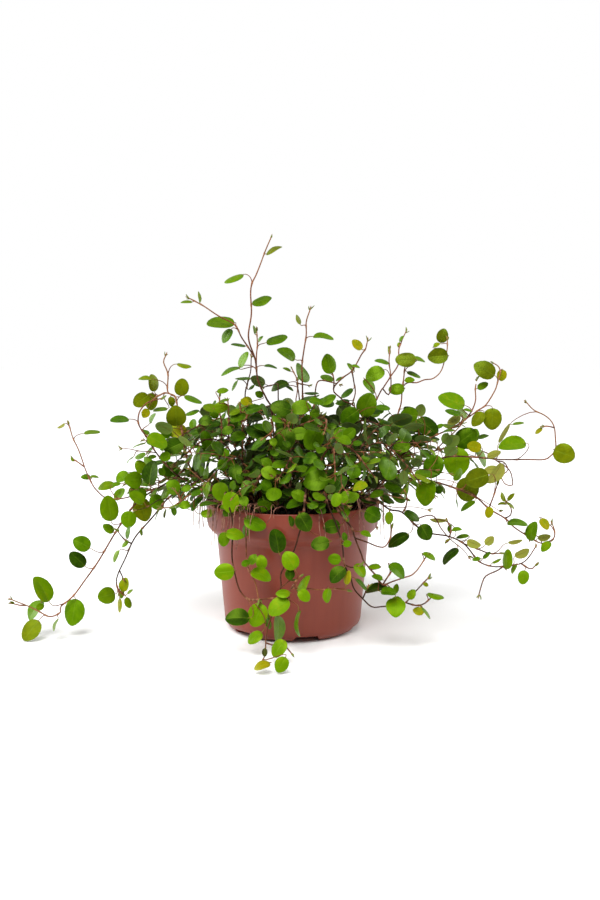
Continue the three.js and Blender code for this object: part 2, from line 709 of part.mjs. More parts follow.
function innerWall(inset) {
  const collarFoot = POT_HEIGHT - COLLAR_HEIGHT;
  return [
    ...footArc(BODY_FOOT_RADIUS - inset, inset, FOOT_CORNER - inset),
    [BODY_TOP_RADIUS - inset, collarFoot - COLLAR_SLOPE + inset / 2],
    [RIM_RADIUS - COLLAR_TAPER - inset, collarFoot + inset / 2],
  ];
}

function innerWallTop(inset, height) {
  const share = (height - POT_HEIGHT + COLLAR_HEIGHT) / COLLAR_HEIGHT;
  return RIM_RADIUS - COLLAR_TAPER * (1 - share) - inset;
}

function channels(spread) {
  const [foot, roof] = [CHANNEL_FOOT_WIDTH / 2 + spread, CHANNEL_ROOF_WIDTH / 2 + spread];
  const top = CHANNEL_HEIGHT + spread;
  const corners = [[-foot, -PAST_THE_FACE], [foot, -PAST_THE_FACE], [roof, top], [-roof, top]];
  const outline = new THREE.Shape(corners.map(([x, y]) => new THREE.Vector2(x, y)));
  const start = CHANNEL_INNER_END - spread;
  let all = null;
  for (let i = 0; i < CHANNEL_COUNT; i += 1) {
    const bar = new THREE.ExtrudeGeometry(outline, { depth: CHANNEL_OUTER_END - start, bevelEnabled: false });
    bar.translate(0, 0, start);
    bar.rotateX(Math.PI / 2);
    bar.rotateZ(degrees(CHANNEL_FIRST_ANGLE + 90 + (i * 360) / CHANNEL_COUNT));
    const solid = solidOf(bar);
    all = all ? all.add(solid) : solid;
  }
  return all;
}

function drainHoles() {
  let all = null;
  for (let i = 0; i < CHANNEL_COUNT; i += 1) {
    const hole = new THREE.CylinderGeometry(DRAIN_RADIUS, DRAIN_RADIUS, 4 * WALL, DRAIN_SIDES);
    hole.rotateX(Math.PI / 2);
    hole.translate(DRAIN_DISTANCE, 0, CHANNEL_HEIGHT + WALL / 2);
    hole.rotateZ(degrees(CHANNEL_FIRST_ANGLE + (i * 360) / CHANNEL_COUNT));
    const solid = solidOf(hole);
    all = all ? all.add(solid) : solid;
  }
  return all;
}

function pot() {
  const above = POT_HEIGHT + PAST_THE_FACE;
  const mouth = [[RIM_RADIUS - WALL, POT_HEIGHT], [RIM_RADIUS - WALL, above], [0, above]];
  const cavity = turned([[0, WALL], ...innerWall(WALL), ...mouth]).subtract(channels(WALL));
  const body = turned([...outerProfile(), [0, POT_HEIGHT]]).subtract(channels(0));
  return body.subtract(cavity).subtract(drainHoles());
}

// Soil, with a socket for each shoot

function soilPlug() {
  const gap = WALL + SOIL_GAP;
  const edge = [innerWallTop(gap, SOIL_HEIGHT), SOIL_HEIGHT];
  const step = SOIL_CROWN / SOIL_CROWN_RADII.length;
  const crown = SOIL_CROWN_RADII.map((r, i) => [r, SOIL_HEIGHT + step * (i + 1)]);
  const profile = [[0, gap], ...innerWall(gap), edge, ...crown].map(([r, z]) => new THREE.Vector2(r, z));
  const geometry = new THREE.LatheGeometry(profile, POT_SEGMENTS / 2);
  geometry.rotateX(Math.PI / 2);
  const place = geometry.attributes.position;
  // A plug with fewer sides than the pot keeps its corners off the pot's flats
  const shrink = Math.cos(Math.PI / POT_SEGMENTS);
  for (let i = 0; i < place.count; i += 1) {
    const [x, y, z] = [place.getX(i), place.getY(i), place.getZ(i)];
    const [u, v] = [SOIL_WAVE * x, SOIL_WAVE * y];
    const lump = Math.sin(u + 1) * Math.cos(v) + Math.sin(2 * v + u);
    place.setXYZ(i, x * shrink, y * shrink, z > SOIL_HEIGHT ? z + SOIL_LUMP * lump : z);
  }
  return solidOf(geometry);
}

function soil(feet) {
  let solid = soilPlug().subtract(channels(WALL + SOIL_GAP));
  for (const { x, y, radius } of feet) {
    const reach = (radius + SOCKET_GAP) * Math.SQRT2;
    const socket = new THREE.CylinderGeometry(reach, reach, 2 * SOCKET_DEPTH, STEM_SIDES);
    socket.rotateX(Math.PI / 2);
    socket.translate(x, y, SOIL_HEIGHT);
    solid = solid.subtract(solidOf(socket));
  }
  return solid;
}

// Stems: a shoot's stem and forks are runs of rods, straight between their points

function seen(right, up, depth) {
  const scale = (depth - EYE.y) / -EYE.y;
  return new THREE.Vector3(EYE.x + (right - EYE.x) * scale, depth, EYE.z + (up - EYE.z) * scale);
}

// The reverse: where a point shows on the front view
function onView(point) {
  const scale = -EYE.y / (point.y - EYE.y);
  return new THREE.Vector2(EYE.x + (point.x - EYE.x) * scale, EYE.z + (point.z - EYE.z) * scale);
}

// The depth of the stem where it passes nearest a place on the front view
function depthBeside(right, up, rods) {
  const place = new THREE.Vector2(right, up);
  let least = Infinity;
  let depth = 0;
  for (const { from, to } of rods) {
    const [start, end] = [onView(from), onView(to)];
    const along = end.clone().sub(start);
    const share = Math.min(1, Math.max(0, place.clone().sub(start).dot(along) / along.lengthSq()));
    const distance = start.clone().addScaledVector(along, share).distanceTo(place);
    if (distance < least) {
      least = distance;
      depth = from.y + (to.y - from.y) * share;
    }
  }
  return depth;
}

function rodsOf(points, radii, shoot) {
  const rods = [];
  for (let i = 0; i + 1 < points.length; i += 1) {
    rods.push({ from: points[i], to: points[i + 1], radius: Math.max(radii[i], radii[i + 1]), shoot });
  }
  return rods;
}

function taper(count, footRadius, tipRadius) {
  const radii = [];
  for (let i = 0; i < count; i += 1) {
    radii.push(footRadius + ((tipRadius - footRadius) * i) / (count - 1));
  }
  return radii;
}

function stemSolid(points, radii) {
  const rings = [];
  let side = new THREE.Vector3(1, 0, 0);
  for (let i = 0; i < points.length; i += 1) {
    const before = points[Math.max(i - 1, 0)];
    const after = points[Math.min(i + 1, points.length - 1)];
    const along = after.clone().sub(before).normalize();
    side = side.clone().addScaledVector(along, -side.dot(along)).normalize();
    const other = along.clone().cross(side);
    const ring = [];
    for (let k = 0; k < STEM_SIDES; k += 1) {
      const turn = (2 * Math.PI * k) / STEM_SIDES;
      ring.push(points[i].clone().addScaledVector(side, radii[i] * Math.cos(turn))
        .addScaledVector(other, radii[i] * Math.sin(turn)));
    }
    rings.push(ring);
  }
  const [last, previous] = [points[points.length - 1], points[points.length - 2]];
  rings.push([last.clone().add(last.clone().sub(previous).setLength(TIP_BUD))]);
  return loft(rings);
}

function footPoints(x, y) {
  const levels = [SOIL_HEIGHT - ROOTED_DEPTH, SOIL_HEIGHT + COLLAR_OF_SHOOT];
  return levels.map((z) => new THREE.Vector3(x, y, z));
}

// Distances and crossings

function nearestOnRod(point, rod) {
  const along = rod.to.clone().sub(rod.from);
  const share = Math.min(1, Math.max(0, point.clone().sub(rod.from).dot(along) / along.lengthSq()));
  return rod.from.clone().addScaledVector(along, share);
}

function rodsApart(a, b) {
  let least = Infinity;
  for (let i = 0; i <= ROD_SAMPLES; i += 1) {
    const onA = a.from.clone().lerp(a.to, i / ROD_SAMPLES);
    const onB = nearestOnRod(onA, b);
    least = Math.min(least, nearestOnRod(onB, a).distanceTo(onB));
  }
  return least;
}

function rodsTouch(a, b) {
  return rodsApart(a, b) < a.radius + b.radius + STEM_CLEARANCE;
}

function withinBlade(point, blade, margin) {
  const arm = point.clone().sub(blade.middle);
  const along = arm.dot(blade.midrib) / (blade.length / 2 + margin);
  const across = arm.dot(blade.across) / (blade.breadth / 2 + margin);
  return along * along + across * across < 1;
}

function lineCutsBlade(from, to, blade, margin, closeness) {
  const high = from.clone().sub(blade.middle).dot(blade.face);
  const low = to.clone().sub(blade.middle).dot(blade.face);
  if (Math.abs(high) < closeness && withinBlade(from, blade, margin)) {
    return true;
  }
  if (Math.abs(low) < closeness && withinBlade(to, blade, margin)) {
    return true;
  }
  if (high * low > 0) {
    return false;
  }
  return withinBlade(from.clone().lerp(to, high / (high - low)), blade, margin);
}

function rodCutsBlade(rod, blade) {
  const reach = (rod.from.distanceTo(rod.to) + blade.length) / 2 + FAR_APART;
  const middle = rod.from.clone().lerp(rod.to, 0.5);
  if (middle.distanceTo(blade.middle) > reach) {
    return false;
  }
  const margin = rod.radius + EDGE_CLEARANCE;
  const halves = [[rod.from, middle], [middle, rod.to]];
  return halves.some(([from, to]) => lineCutsBlade(from, to, blade, margin, margin));
}

function bladesTouch(a, b) {
  if (a.middle.distanceTo(b.middle) > (a.length + b.length) / 2 + FAR_APART) {
    return false;
  }
  for (const [one, other] of [[a, b], [b, a]]) {
    const edge = one.edge;
    for (let i = 0; i < edge.length; i += 1) {
      const next = edge[(i + 1) % edge.length];
      if (lineCutsBlade(edge[i], next, other, EDGE_CLEARANCE, BLADE_CLEARANCE)) {
        return true;
      }
      if (lineCutsBlade(edge[i], one.middle, other, EDGE_CLEARANCE, BLADE_CLEARANCE)) {
        return true;
      }
    }
  }
  return false;
}

// Keeping off the pot, the soil and the surface that the pot stands on

function potRadiusAt(height) {
  const collarFoot = POT_HEIGHT - COLLAR_HEIGHT - COLLAR_SLOPE;
  return height > collarFoot ? RIM_RADIUS : BODY_TOP_RADIUS;
}

function isFree(point, clearance) {
  if (point.z < SURFACE_CLEARANCE) {
    return false;
  }
  const radius = Math.hypot(point.x, point.y);
  if (point.z > POT_HEIGHT + clearance || radius > potRadiusAt(point.z) + clearance) {
    return true;
  }
  return radius < RIM_RADIUS - WALL - clearance && point.z > SOIL_HEIGHT + SOIL_CROWN + clearance;
}

// Leaves

function bladeOf(middle, midrib, across, length, breadth, shoot) {
  const face = midrib.clone().cross(across).normalize();
  const edge = [];
  for (let i = 0; i < EDGE_POINTS; i += 1) {
    const turn = (2 * Math.PI * i) / EDGE_POINTS;
    const [forward, sideways] = [(Math.cos(turn) * length) / 2, (Math.sin(turn) * breadth) / 2];
    edge.push(middle.clone().addScaledVector(midrib, forward).addScaledVector(across, sideways));
  }
  const base = middle.clone().addScaledVector(midrib, -length / 2);
  const tip = middle.clone().addScaledVector(midrib, length / 2);
  return { middle, midrib, across, face, length, breadth, edge, base, tip, shoot };
}

// A direction turned by an angle from one axis towards another that is square to it
function turnTowards(axis, other, angle) {
  return axis.clone().multiplyScalar(Math.cos(angle)).addScaledVector(other, Math.sin(angle));
}

// A blade that shows the given length and breadth on the front view: what the view shortens, the blade leans
function bladeFromView(leaf, depth, count, shoot) {
  const [right, up, heading, lengthSeen, breadthSeen] = leaf;
  const middle = seen(right, up, depth);
  const scale = (depth - EYE.y) / -EYE.y;
  const away = middle.clone().sub(EYE).normalize();
  const sideways = away.clone().cross(UP).normalize();
  const upwards = sideways.clone().cross(away);
  const pointing = turnTowards(sideways, upwards, degrees(heading));
  const level = turnTowards(sideways, upwards, degrees(heading + 90));
  const shortened = Math.min(1, lengthSeen / (LONGEST_OVER_BROADEST * breadthSeen));
  const length = (lengthSeen / shortened) * scale;
  const midrib = turnTowards(pointing, away, Math.acos(shortened) * (count % 2 ? 1 : -1)).normalize();
  const breadth = Math.max(breadthSeen * scale, BROADEST_OVER_LONGEST * length);
  const roll = Math.acos(Math.min(1, (breadthSeen * scale) / breadth));
  const square = midrib.clone().cross(level).normalize();
  const ways = [turnTowards(level, square, roll), turnTowards(level, square, -roll)];
  const skyward = ways.map((way) => {
    const face = midrib.clone().cross(way);
    return -Math.sign(face.dot(away)) * face.z;
  });
  const across = skyward[0] >= skyward[1] ? ways[0] : ways[1];
  if (midrib.clone().cross(across).dot(away) > 0) {
    across.negate();
  }
  return bladeOf(middle, midrib, across, length, breadth, shoot);
}

function nearestOnRods(point, rods) {
  let best = null;
  for (const rod of rods) {
    const place = nearestOnRod(point, rod);
    if (!best || place.distanceTo(point) < best.distanceTo(point)) {
      best = place;
    }
  }
  return best;
}

// The petiole starts on the nearest run of the stem, a little inside its two ends
function petioleOf(blade, rods, shoot) {
  const inner = rods.map(({ from, to }) => ({
    from: from.clone().lerp(to, RUN_END_SHARE),
    to: to.clone().lerp(from, RUN_END_SHARE),
  }));
  return { from: nearestOnRods(blade.base, inner), to: blade.base, radius: PETIOLE_RADIUS, shoot };
}

function leafIsClear(blade, petiole, rods, blades) {
  const within = blade.edge.map((point) => point.clone().lerp(blade.middle, 0.5));
  const halfway = petiole.from.clone().lerp(petiole.to, 0.5);
  if (![...blade.edge, ...within, blade.middle, halfway].every((point) => isFree(point, LEAF_TO_POT))) {
    return false;
  }
  for (const rod of rods) {
    if (rod.shoot === blade.shoot) {
      if (!rod.leaf && lineCutsBlade(rod.from, rod.to, blade, 0, 0)) {
        return false;
      }
    } else if (rodCutsBlade(rod, blade) || rodsTouch(rod, petiole)) {
      return false;
    }
  }
  return blades.every((other) => !bladesTouch(other, blade) && !rodCutsBlade(petiole, other));
}

// A leaf is a three-sided petiole that widens into the blade; the ring between them lies square to the bend
function leafSolid(blade, petiole) {
  const { base, tip, midrib, across, face, length, breadth, middle } = blade;
  const reach = base.clone().sub(petiole.from).normalize();
  const bend = reach.clone().add(midrib);
  if (bend.length() < FOLDED_BACK) {
    bend.add(face);
  }
  bend.normalize();
  const turnedBy = (directions, from, to) => {
    const turn = new THREE.Quaternion().setFromUnitVectors(from, to);
    return directions.map((direction) => direction.clone().applyQuaternion(turn));
  };
  const atBend = turnedBy([across, face], midrib, bend);
  const atStem = turnedBy(atBend, bend, reach);
  const ring = (place, [sideways, down], half, depth) => [
    place.clone().addScaledVector(sideways, half),
    place.clone().addScaledVector(sideways, -half),
    place.clone().addScaledVector(down, -depth),
  ];
  const broad = ([share, width]) => {
    const place = middle.clone().addScaledVector(midrib, share * length);
    return ring(place, [across, face], width * breadth, BLADE_THICKNESS);
  };
  const rings = [
    ring(petiole.from, atStem, PETIOLE_RADIUS, PETIOLE_RADIUS),
    ring(base, atBend, PETIOLE_RADIUS, BLADE_THICKNESS),
  ];
  const outline = length < SMALL_BLADE ? SMALL_BLADE_OUTLINE : BLADE_OUTLINE;
  return loft([...rings, ...outline.map(broad), [tip]]);
}

// Crown shoots

function crownRoute([direction, footDistance, reach, rise, fall]) {
  const angle = degrees(direction + CROWN_DIRECTION_SPREAD * (chance() - 0.5));
  const footAngle = degrees(direction + CROWN_FOOT_SPREAD * (chance() - 0.5));
  const [x, y] = [footDistance * Math.cos(footAngle), footDistance * Math.sin(footAngle)];
  const points = footPoints(x, y);
  const phase = 2 * Math.PI * chance();
  const lift = rise * between(CROWN_LIFT);
  for (let i = 1; i <= CROWN_STEPS; i += 1) {
    const t = i / CROWN_STEPS;
    const out = reach * t ** CROWN_OUTREACH_POWER;
    const sway = CROWN_SWAY * (Math.sin(2 * Math.PI * t + phase) - Math.sin(phase)) * t;
    const climb = lift * Math.sin((Math.PI / 2) * Math.min(1, t / CROWN_TOP_AT));
    const drop = fall * Math.max(0, (t - CROWN_TOP_AT) / (1 - CROWN_TOP_AT)) ** CROWN_DROP_POWER;
    points.push(new THREE.Vector3(
      x + out * Math.cos(angle) - sway * Math.sin(angle),
      y + out * Math.sin(angle) + sway * Math.cos(angle),
      SOIL_HEIGHT + COLLAR_OF_SHOOT + climb - drop,
    ));
  }
  return { points, angle };
}

function routeIsClear(points, radii, shoot, rods, feet) {
  const foot = points[0];
  if (feet.some((other) => Math.hypot(other.x - foot.x, other.y - foot.y) < FOOT_SPACING)) {
    return false;
  }
  const own = rodsOf(points, radii, shoot);
  const offThePot = ({ from, to }) => {
    const places = ROUTE_SAMPLES.map((t) => from.clone().lerp(to, t));
    return places.every((place) => isFree(place, STEM_TO_POT));
  };
  return own.slice(1).every(offThePot) && own.every((rod) => rods.every((other) => !rodsTouch(rod, other)));
}

// A leaf of a crown shoot: it faces up and outwards, and its tip droops away from the stem
function crownBlade(place, along, angle, turn, size, shoot) {
  const outwards = new THREE.Vector3(Math.cos(angle), Math.sin(angle), 0);
  const side = along.clone().cross(UP).addScaledVector(outwards, CROWN_LEAF_LEAN).normalize();
  side.applyAxisAngle(along, degrees(turn));
  const base = place.clone().addScaledVector(side, size.petiole);
  const midrib = side.clone().addScaledVector(outwards, 0.5).addScaledVector(UP, size.droop).normalize();
  const light = new THREE.Vector3(size.tiltX, size.tiltY, CROWN_LIGHT_UP);
  light.addScaledVector(outwards, CROWN_LIGHT_OUT);
  const face = light.addScaledVector(midrib, -light.dot(midrib)).normalize();
  const across = face.clone().cross(midrib).normalize();
  const middle = base.clone().addScaledVector(midrib, size.length / 2);
  return bladeOf(middle, midrib, across, size.length, size.length * size.roundness, shoot);
}

function between([low, high]) {
  return low + (high - low) * chance();
}

function crownLeafSize() {
  return {
    length: between(CROWN_LEAF_LENGTHS),
    roundness: between(CROWN_ROUNDNESS),
    petiole: between(CROWN_PETIOLES),
    droop: between(CROWN_DROOP),
    tiltX: between(CROWN_TILT),
    tiltY: between(CROWN_TILT),
  };
}

// The whole plant: first every stem, then the leaves one by one where nothing is in their way

function growStems() {
  const rods = [];
  const feet = [];
  const shoots = [];
  SHOOTS.forEach((entry) => {
    const footRadius = entry.thickness / 2;
    const main = [...footPoints(...entry.foot), ...entry.route.map((point) => seen(...point))];
    const runs = [{ points: main, radii: taper(main.length, footRadius, TIP_RADIUS) }];
    const own = rodsOf(main, runs[0].radii, entry.name);
    for (const fork of entry.forks) {
      const points = fork.map((point) => seen(...point));
      const joint = nearestOnRods(points[0], own);
      points.splice(0, joint.distanceTo(points[0]) < FORK_JOINT ? 1 : 0, joint);
      const radii = taper(points.length, FORK_RADIUS, TIP_RADIUS);
      runs.push({ points, radii });
      own.push(...rodsOf(points, radii, entry.name));
    }
    rods.push(...own);
    feet.push({ x: entry.foot[0], y: entry.foot[1], radius: footRadius });
    shoots.push({ name: entry.name, runs, rods: own, entry });
  });
  CROWN_SHOOTS.forEach((entry, order) => {
    const name = `crown_shoot_${String(order + 1).padStart(2, '0')}`;
    for (let attempt = 0; attempt < CROWN_SHOOT_TRIES; attempt += 1) {
      const { points, angle } = crownRoute(entry);
      const radii = taper(points.length, CROWN_THICKNESS / 2, TIP_RADIUS);
      if (routeIsClear(points, radii, name, rods, feet)) {
        const own = rodsOf(points, radii, name);
        rods.push(...own);
        feet.push({ x: points[0].x, y: points[0].y, radius: CROWN_THICKNESS / 2 });
        shoots.push({ name, runs: [{ points, radii }], rods: own, angle });
        return;
      }
    }
  });
  return { rods, feet, shoots };
}

// The first of the choices that is clear becomes a leaf
function placeLeaf(choices, shoot, rods, blades) {
  for (const blade of choices) {
    const petiole = petioleOf(blade, shoot.rods, shoot.name);
    if (leafIsClear(blade, petiole, rods, blades)) {
      rods.push({ ...petiole, leaf: true });
      blades.push(blade);
      shoot.leaves.push({ blade, petiole });
      return;
    }
  }
}

function leavesOfView(shoot, rods, blades) {
  shoot.entry.leaves.forEach((leaf, count) => {
    const [right, up, , lengthSeen, breadthSeen] = leaf;
    if (Math.max(lengthSeen, breadthSeen) < SMALLEST_SOLID_LEAF) {
      return;
    }
    const stagger = count % 2 ? LEAF_STAGGER : -LEAF_STAGGER;
    const depth = depthBeside(right, up, shoot.rods) - shoot.entry.fore + stagger;
    const choices = DEPTH_SHIFTS.map((shift) => bladeFromView(leaf, depth + shift, count, shoot.name));
    placeLeaf(choices, shoot, rods, blades);
  });
}

function leavesOfCrown(shoot, rods, blades) {
  let run = 0;
  let next = 0;
  let count = 0;
  for (const rod of shoot.rods) {
    const along = rod.to.clone().sub(rod.from).normalize();
    const length = rod.from.distanceTo(rod.to);
    while (next < run + length) {
      const place = rod.from.clone().addScaledVector(along, next - run);
      next += CROWN_LEAF_SPACING;
      if (place.z < CROWN_LEAF_LOWEST && rod === shoot.rods[0]) {
        continue;
      }
      const size = crownLeafSize();
      const turns = CROWN_TURNS.map((turn) => turn + LEAF_SPIRAL * count);
      count += 1;
      const choices = turns.map((turn) => crownBlade(place, along, shoot.angle, turn, size, shoot.name));
      placeLeaf(choices, shoot, rods, blades);
    }
    run += length;
  }
}

// Assembly

const plant = growStems();
const blades = [];
for (const shoot of plant.shoots) {
  shoot.leaves = [];
}
for (const shoot of plant.shoots.filter(({ entry }) => entry)) {
  leavesOfView(shoot, plant.rods, blades);
}
for (const shoot of plant.shoots.filter(({ entry }) => !entry)) {
  leavesOfCrown(shoot, plant.rods, blades);
}

const group = new THREE.Group();

function addPiece(name, solid, color, roughness) {
  const material = new THREE.MeshStandardMaterial({ color, roughness, metalness: 0 });
  const mesh = new THREE.Mesh(geometryOf(solid), material);
  mesh.name = name;
  group.add(mesh);
}

// A shoot is one solid: its stem and forks with its leaves, less any leaf that still meets another shoot
function shootSolid(shoot, neighbours) {
  let solid = null;
  for (const { points, radii } of shoot.runs) {
    const run = stemSolid(points, radii);
    solid = solid ? solid.add(run) : run;
  }
  for (const { blade, petiole } of shoot.leaves) {
    const leaf = leafSolid(blade, petiole);
    if (neighbours.every((other) => leaf.intersect(other).isEmpty())) {
      solid = solid.add(leaf);
    }
  }
  return solid;
}

addPiece('nursery_pot', pot(), 0x8f4a3c, 0.45);
addPiece('potting_soil', soil(plant.feet), 0x1c1512, 0.95);

const stemsAlone = new Map();
for (const shoot of plant.shoots) {
  const runs = shoot.runs.map(({ points, radii }) => stemSolid(points, radii));
  stemsAlone.set(shoot.name, runs.reduce((sum, run) => sum.add(run)));
}

const LEAF_COLOURS = [0x5f8f1a, 0x6fa01e, 0x4d7d1c, 0x7fae22];
const finished = [];
plant.shoots.forEach((shoot, order) => {
  const later = plant.shoots.slice(order + 1).map(({ name }) => stemsAlone.get(name));
  const solid = shootSolid(shoot, [...finished, ...later]);
  finished.push(solid);
  addPiece(shoot.name, solid, LEAF_COLOURS[order % LEAF_COLOURS.length], 0.4);
});

export default group;
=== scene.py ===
"""The looks of a potted wire vine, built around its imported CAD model.

Millimetres while the plant is worked out, metres in every mesh. +Z up, -Y towards the viewer of the front view.
The origin is the centre of the pot's flat underside.
"""

import math

import bmesh
import bpy
import mathutils
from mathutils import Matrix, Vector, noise


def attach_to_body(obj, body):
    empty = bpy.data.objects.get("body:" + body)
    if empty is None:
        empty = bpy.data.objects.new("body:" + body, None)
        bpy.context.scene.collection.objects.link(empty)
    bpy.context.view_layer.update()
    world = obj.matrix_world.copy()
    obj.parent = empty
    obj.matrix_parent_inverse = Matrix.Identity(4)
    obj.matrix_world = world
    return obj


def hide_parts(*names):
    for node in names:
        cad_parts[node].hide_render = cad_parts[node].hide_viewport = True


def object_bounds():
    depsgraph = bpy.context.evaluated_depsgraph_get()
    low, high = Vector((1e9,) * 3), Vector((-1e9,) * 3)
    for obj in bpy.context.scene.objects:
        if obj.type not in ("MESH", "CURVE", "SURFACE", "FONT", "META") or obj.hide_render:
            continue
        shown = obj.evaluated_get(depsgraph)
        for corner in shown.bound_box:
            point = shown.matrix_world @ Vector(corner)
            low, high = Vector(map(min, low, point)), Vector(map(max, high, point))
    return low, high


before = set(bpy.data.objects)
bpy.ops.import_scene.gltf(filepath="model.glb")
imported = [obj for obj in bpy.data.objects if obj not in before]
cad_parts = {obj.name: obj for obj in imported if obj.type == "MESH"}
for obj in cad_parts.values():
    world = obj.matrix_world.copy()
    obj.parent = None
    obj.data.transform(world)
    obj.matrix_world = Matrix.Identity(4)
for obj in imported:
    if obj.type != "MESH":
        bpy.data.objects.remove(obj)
cad_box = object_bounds()

MM = 0.001

# Pot: a 12 cm nursery pot with a wide collar
RIM_RADIUS = 60
POT_HEIGHT = 89
COLLAR_HEIGHT = 17
COLLAR_TAPER = 1.2
COLLAR_SLOPE = 6
BODY_TOP_RADIUS = 52.6
BODY_FOOT_RADIUS = 47.6
FOOT_CORNER = 9
WALL = 1.3
POT_SEGMENTS = 192

# Drainage channels pressed up into the underside, and the hole in each
CHANNEL_COUNT = 6
CHANNEL_FIRST_ANGLE = -78
CHANNEL_INNER_END = 15
CHANNEL_OUTER_END = 66
CHANNEL_HEIGHT = 4.6
CHANNEL_FOOT_WIDTH = 20
CHANNEL_ROOF_WIDTH = 15
DRAIN_RADIUS = 3.2
DRAIN_DISTANCE = 30

# Soil
SOIL_HEIGHT = 79
SOIL_CROWN = 3
SOIL_GAP = 0.35

# Stems
TIP_RADIUS = 0.5
FORK_RADIUS = 0.65
ROOTED_DEPTH = 7
COLLAR_OF_SHOOT = 6
FORK_JOINT = 2
RUN_END_SHARE = 0.06

# Leaves
PETIOLE_RADIUS = 0.2
LONGEST_OVER_BROADEST = 1.08
BROADEST_OVER_LONGEST = 0.8
SMALLEST_SOLID_LEAF = 8
LEAF_STAGGER = 3
DEPTH_SHIFTS = (0, -4, 4, -8, 8, -12, 12, -16, 16, -22, 22)
EDGE_POINTS = 8

# Clearances
SURFACE_CLEARANCE = 0.4
LEAF_TO_POT = 1
STEM_TO_POT = 1.5
BLADE_CLEARANCE = 1.3
EDGE_CLEARANCE = 0.9
STEM_CLEARANCE = 0.5
FAR_APART = 3
ROD_SAMPLES = 6

# The eye that the front view is drawn for: the view lies on the upright plane through the pot's axis
EYE = (5, -750, 212)
UP = (0, 0, 1)

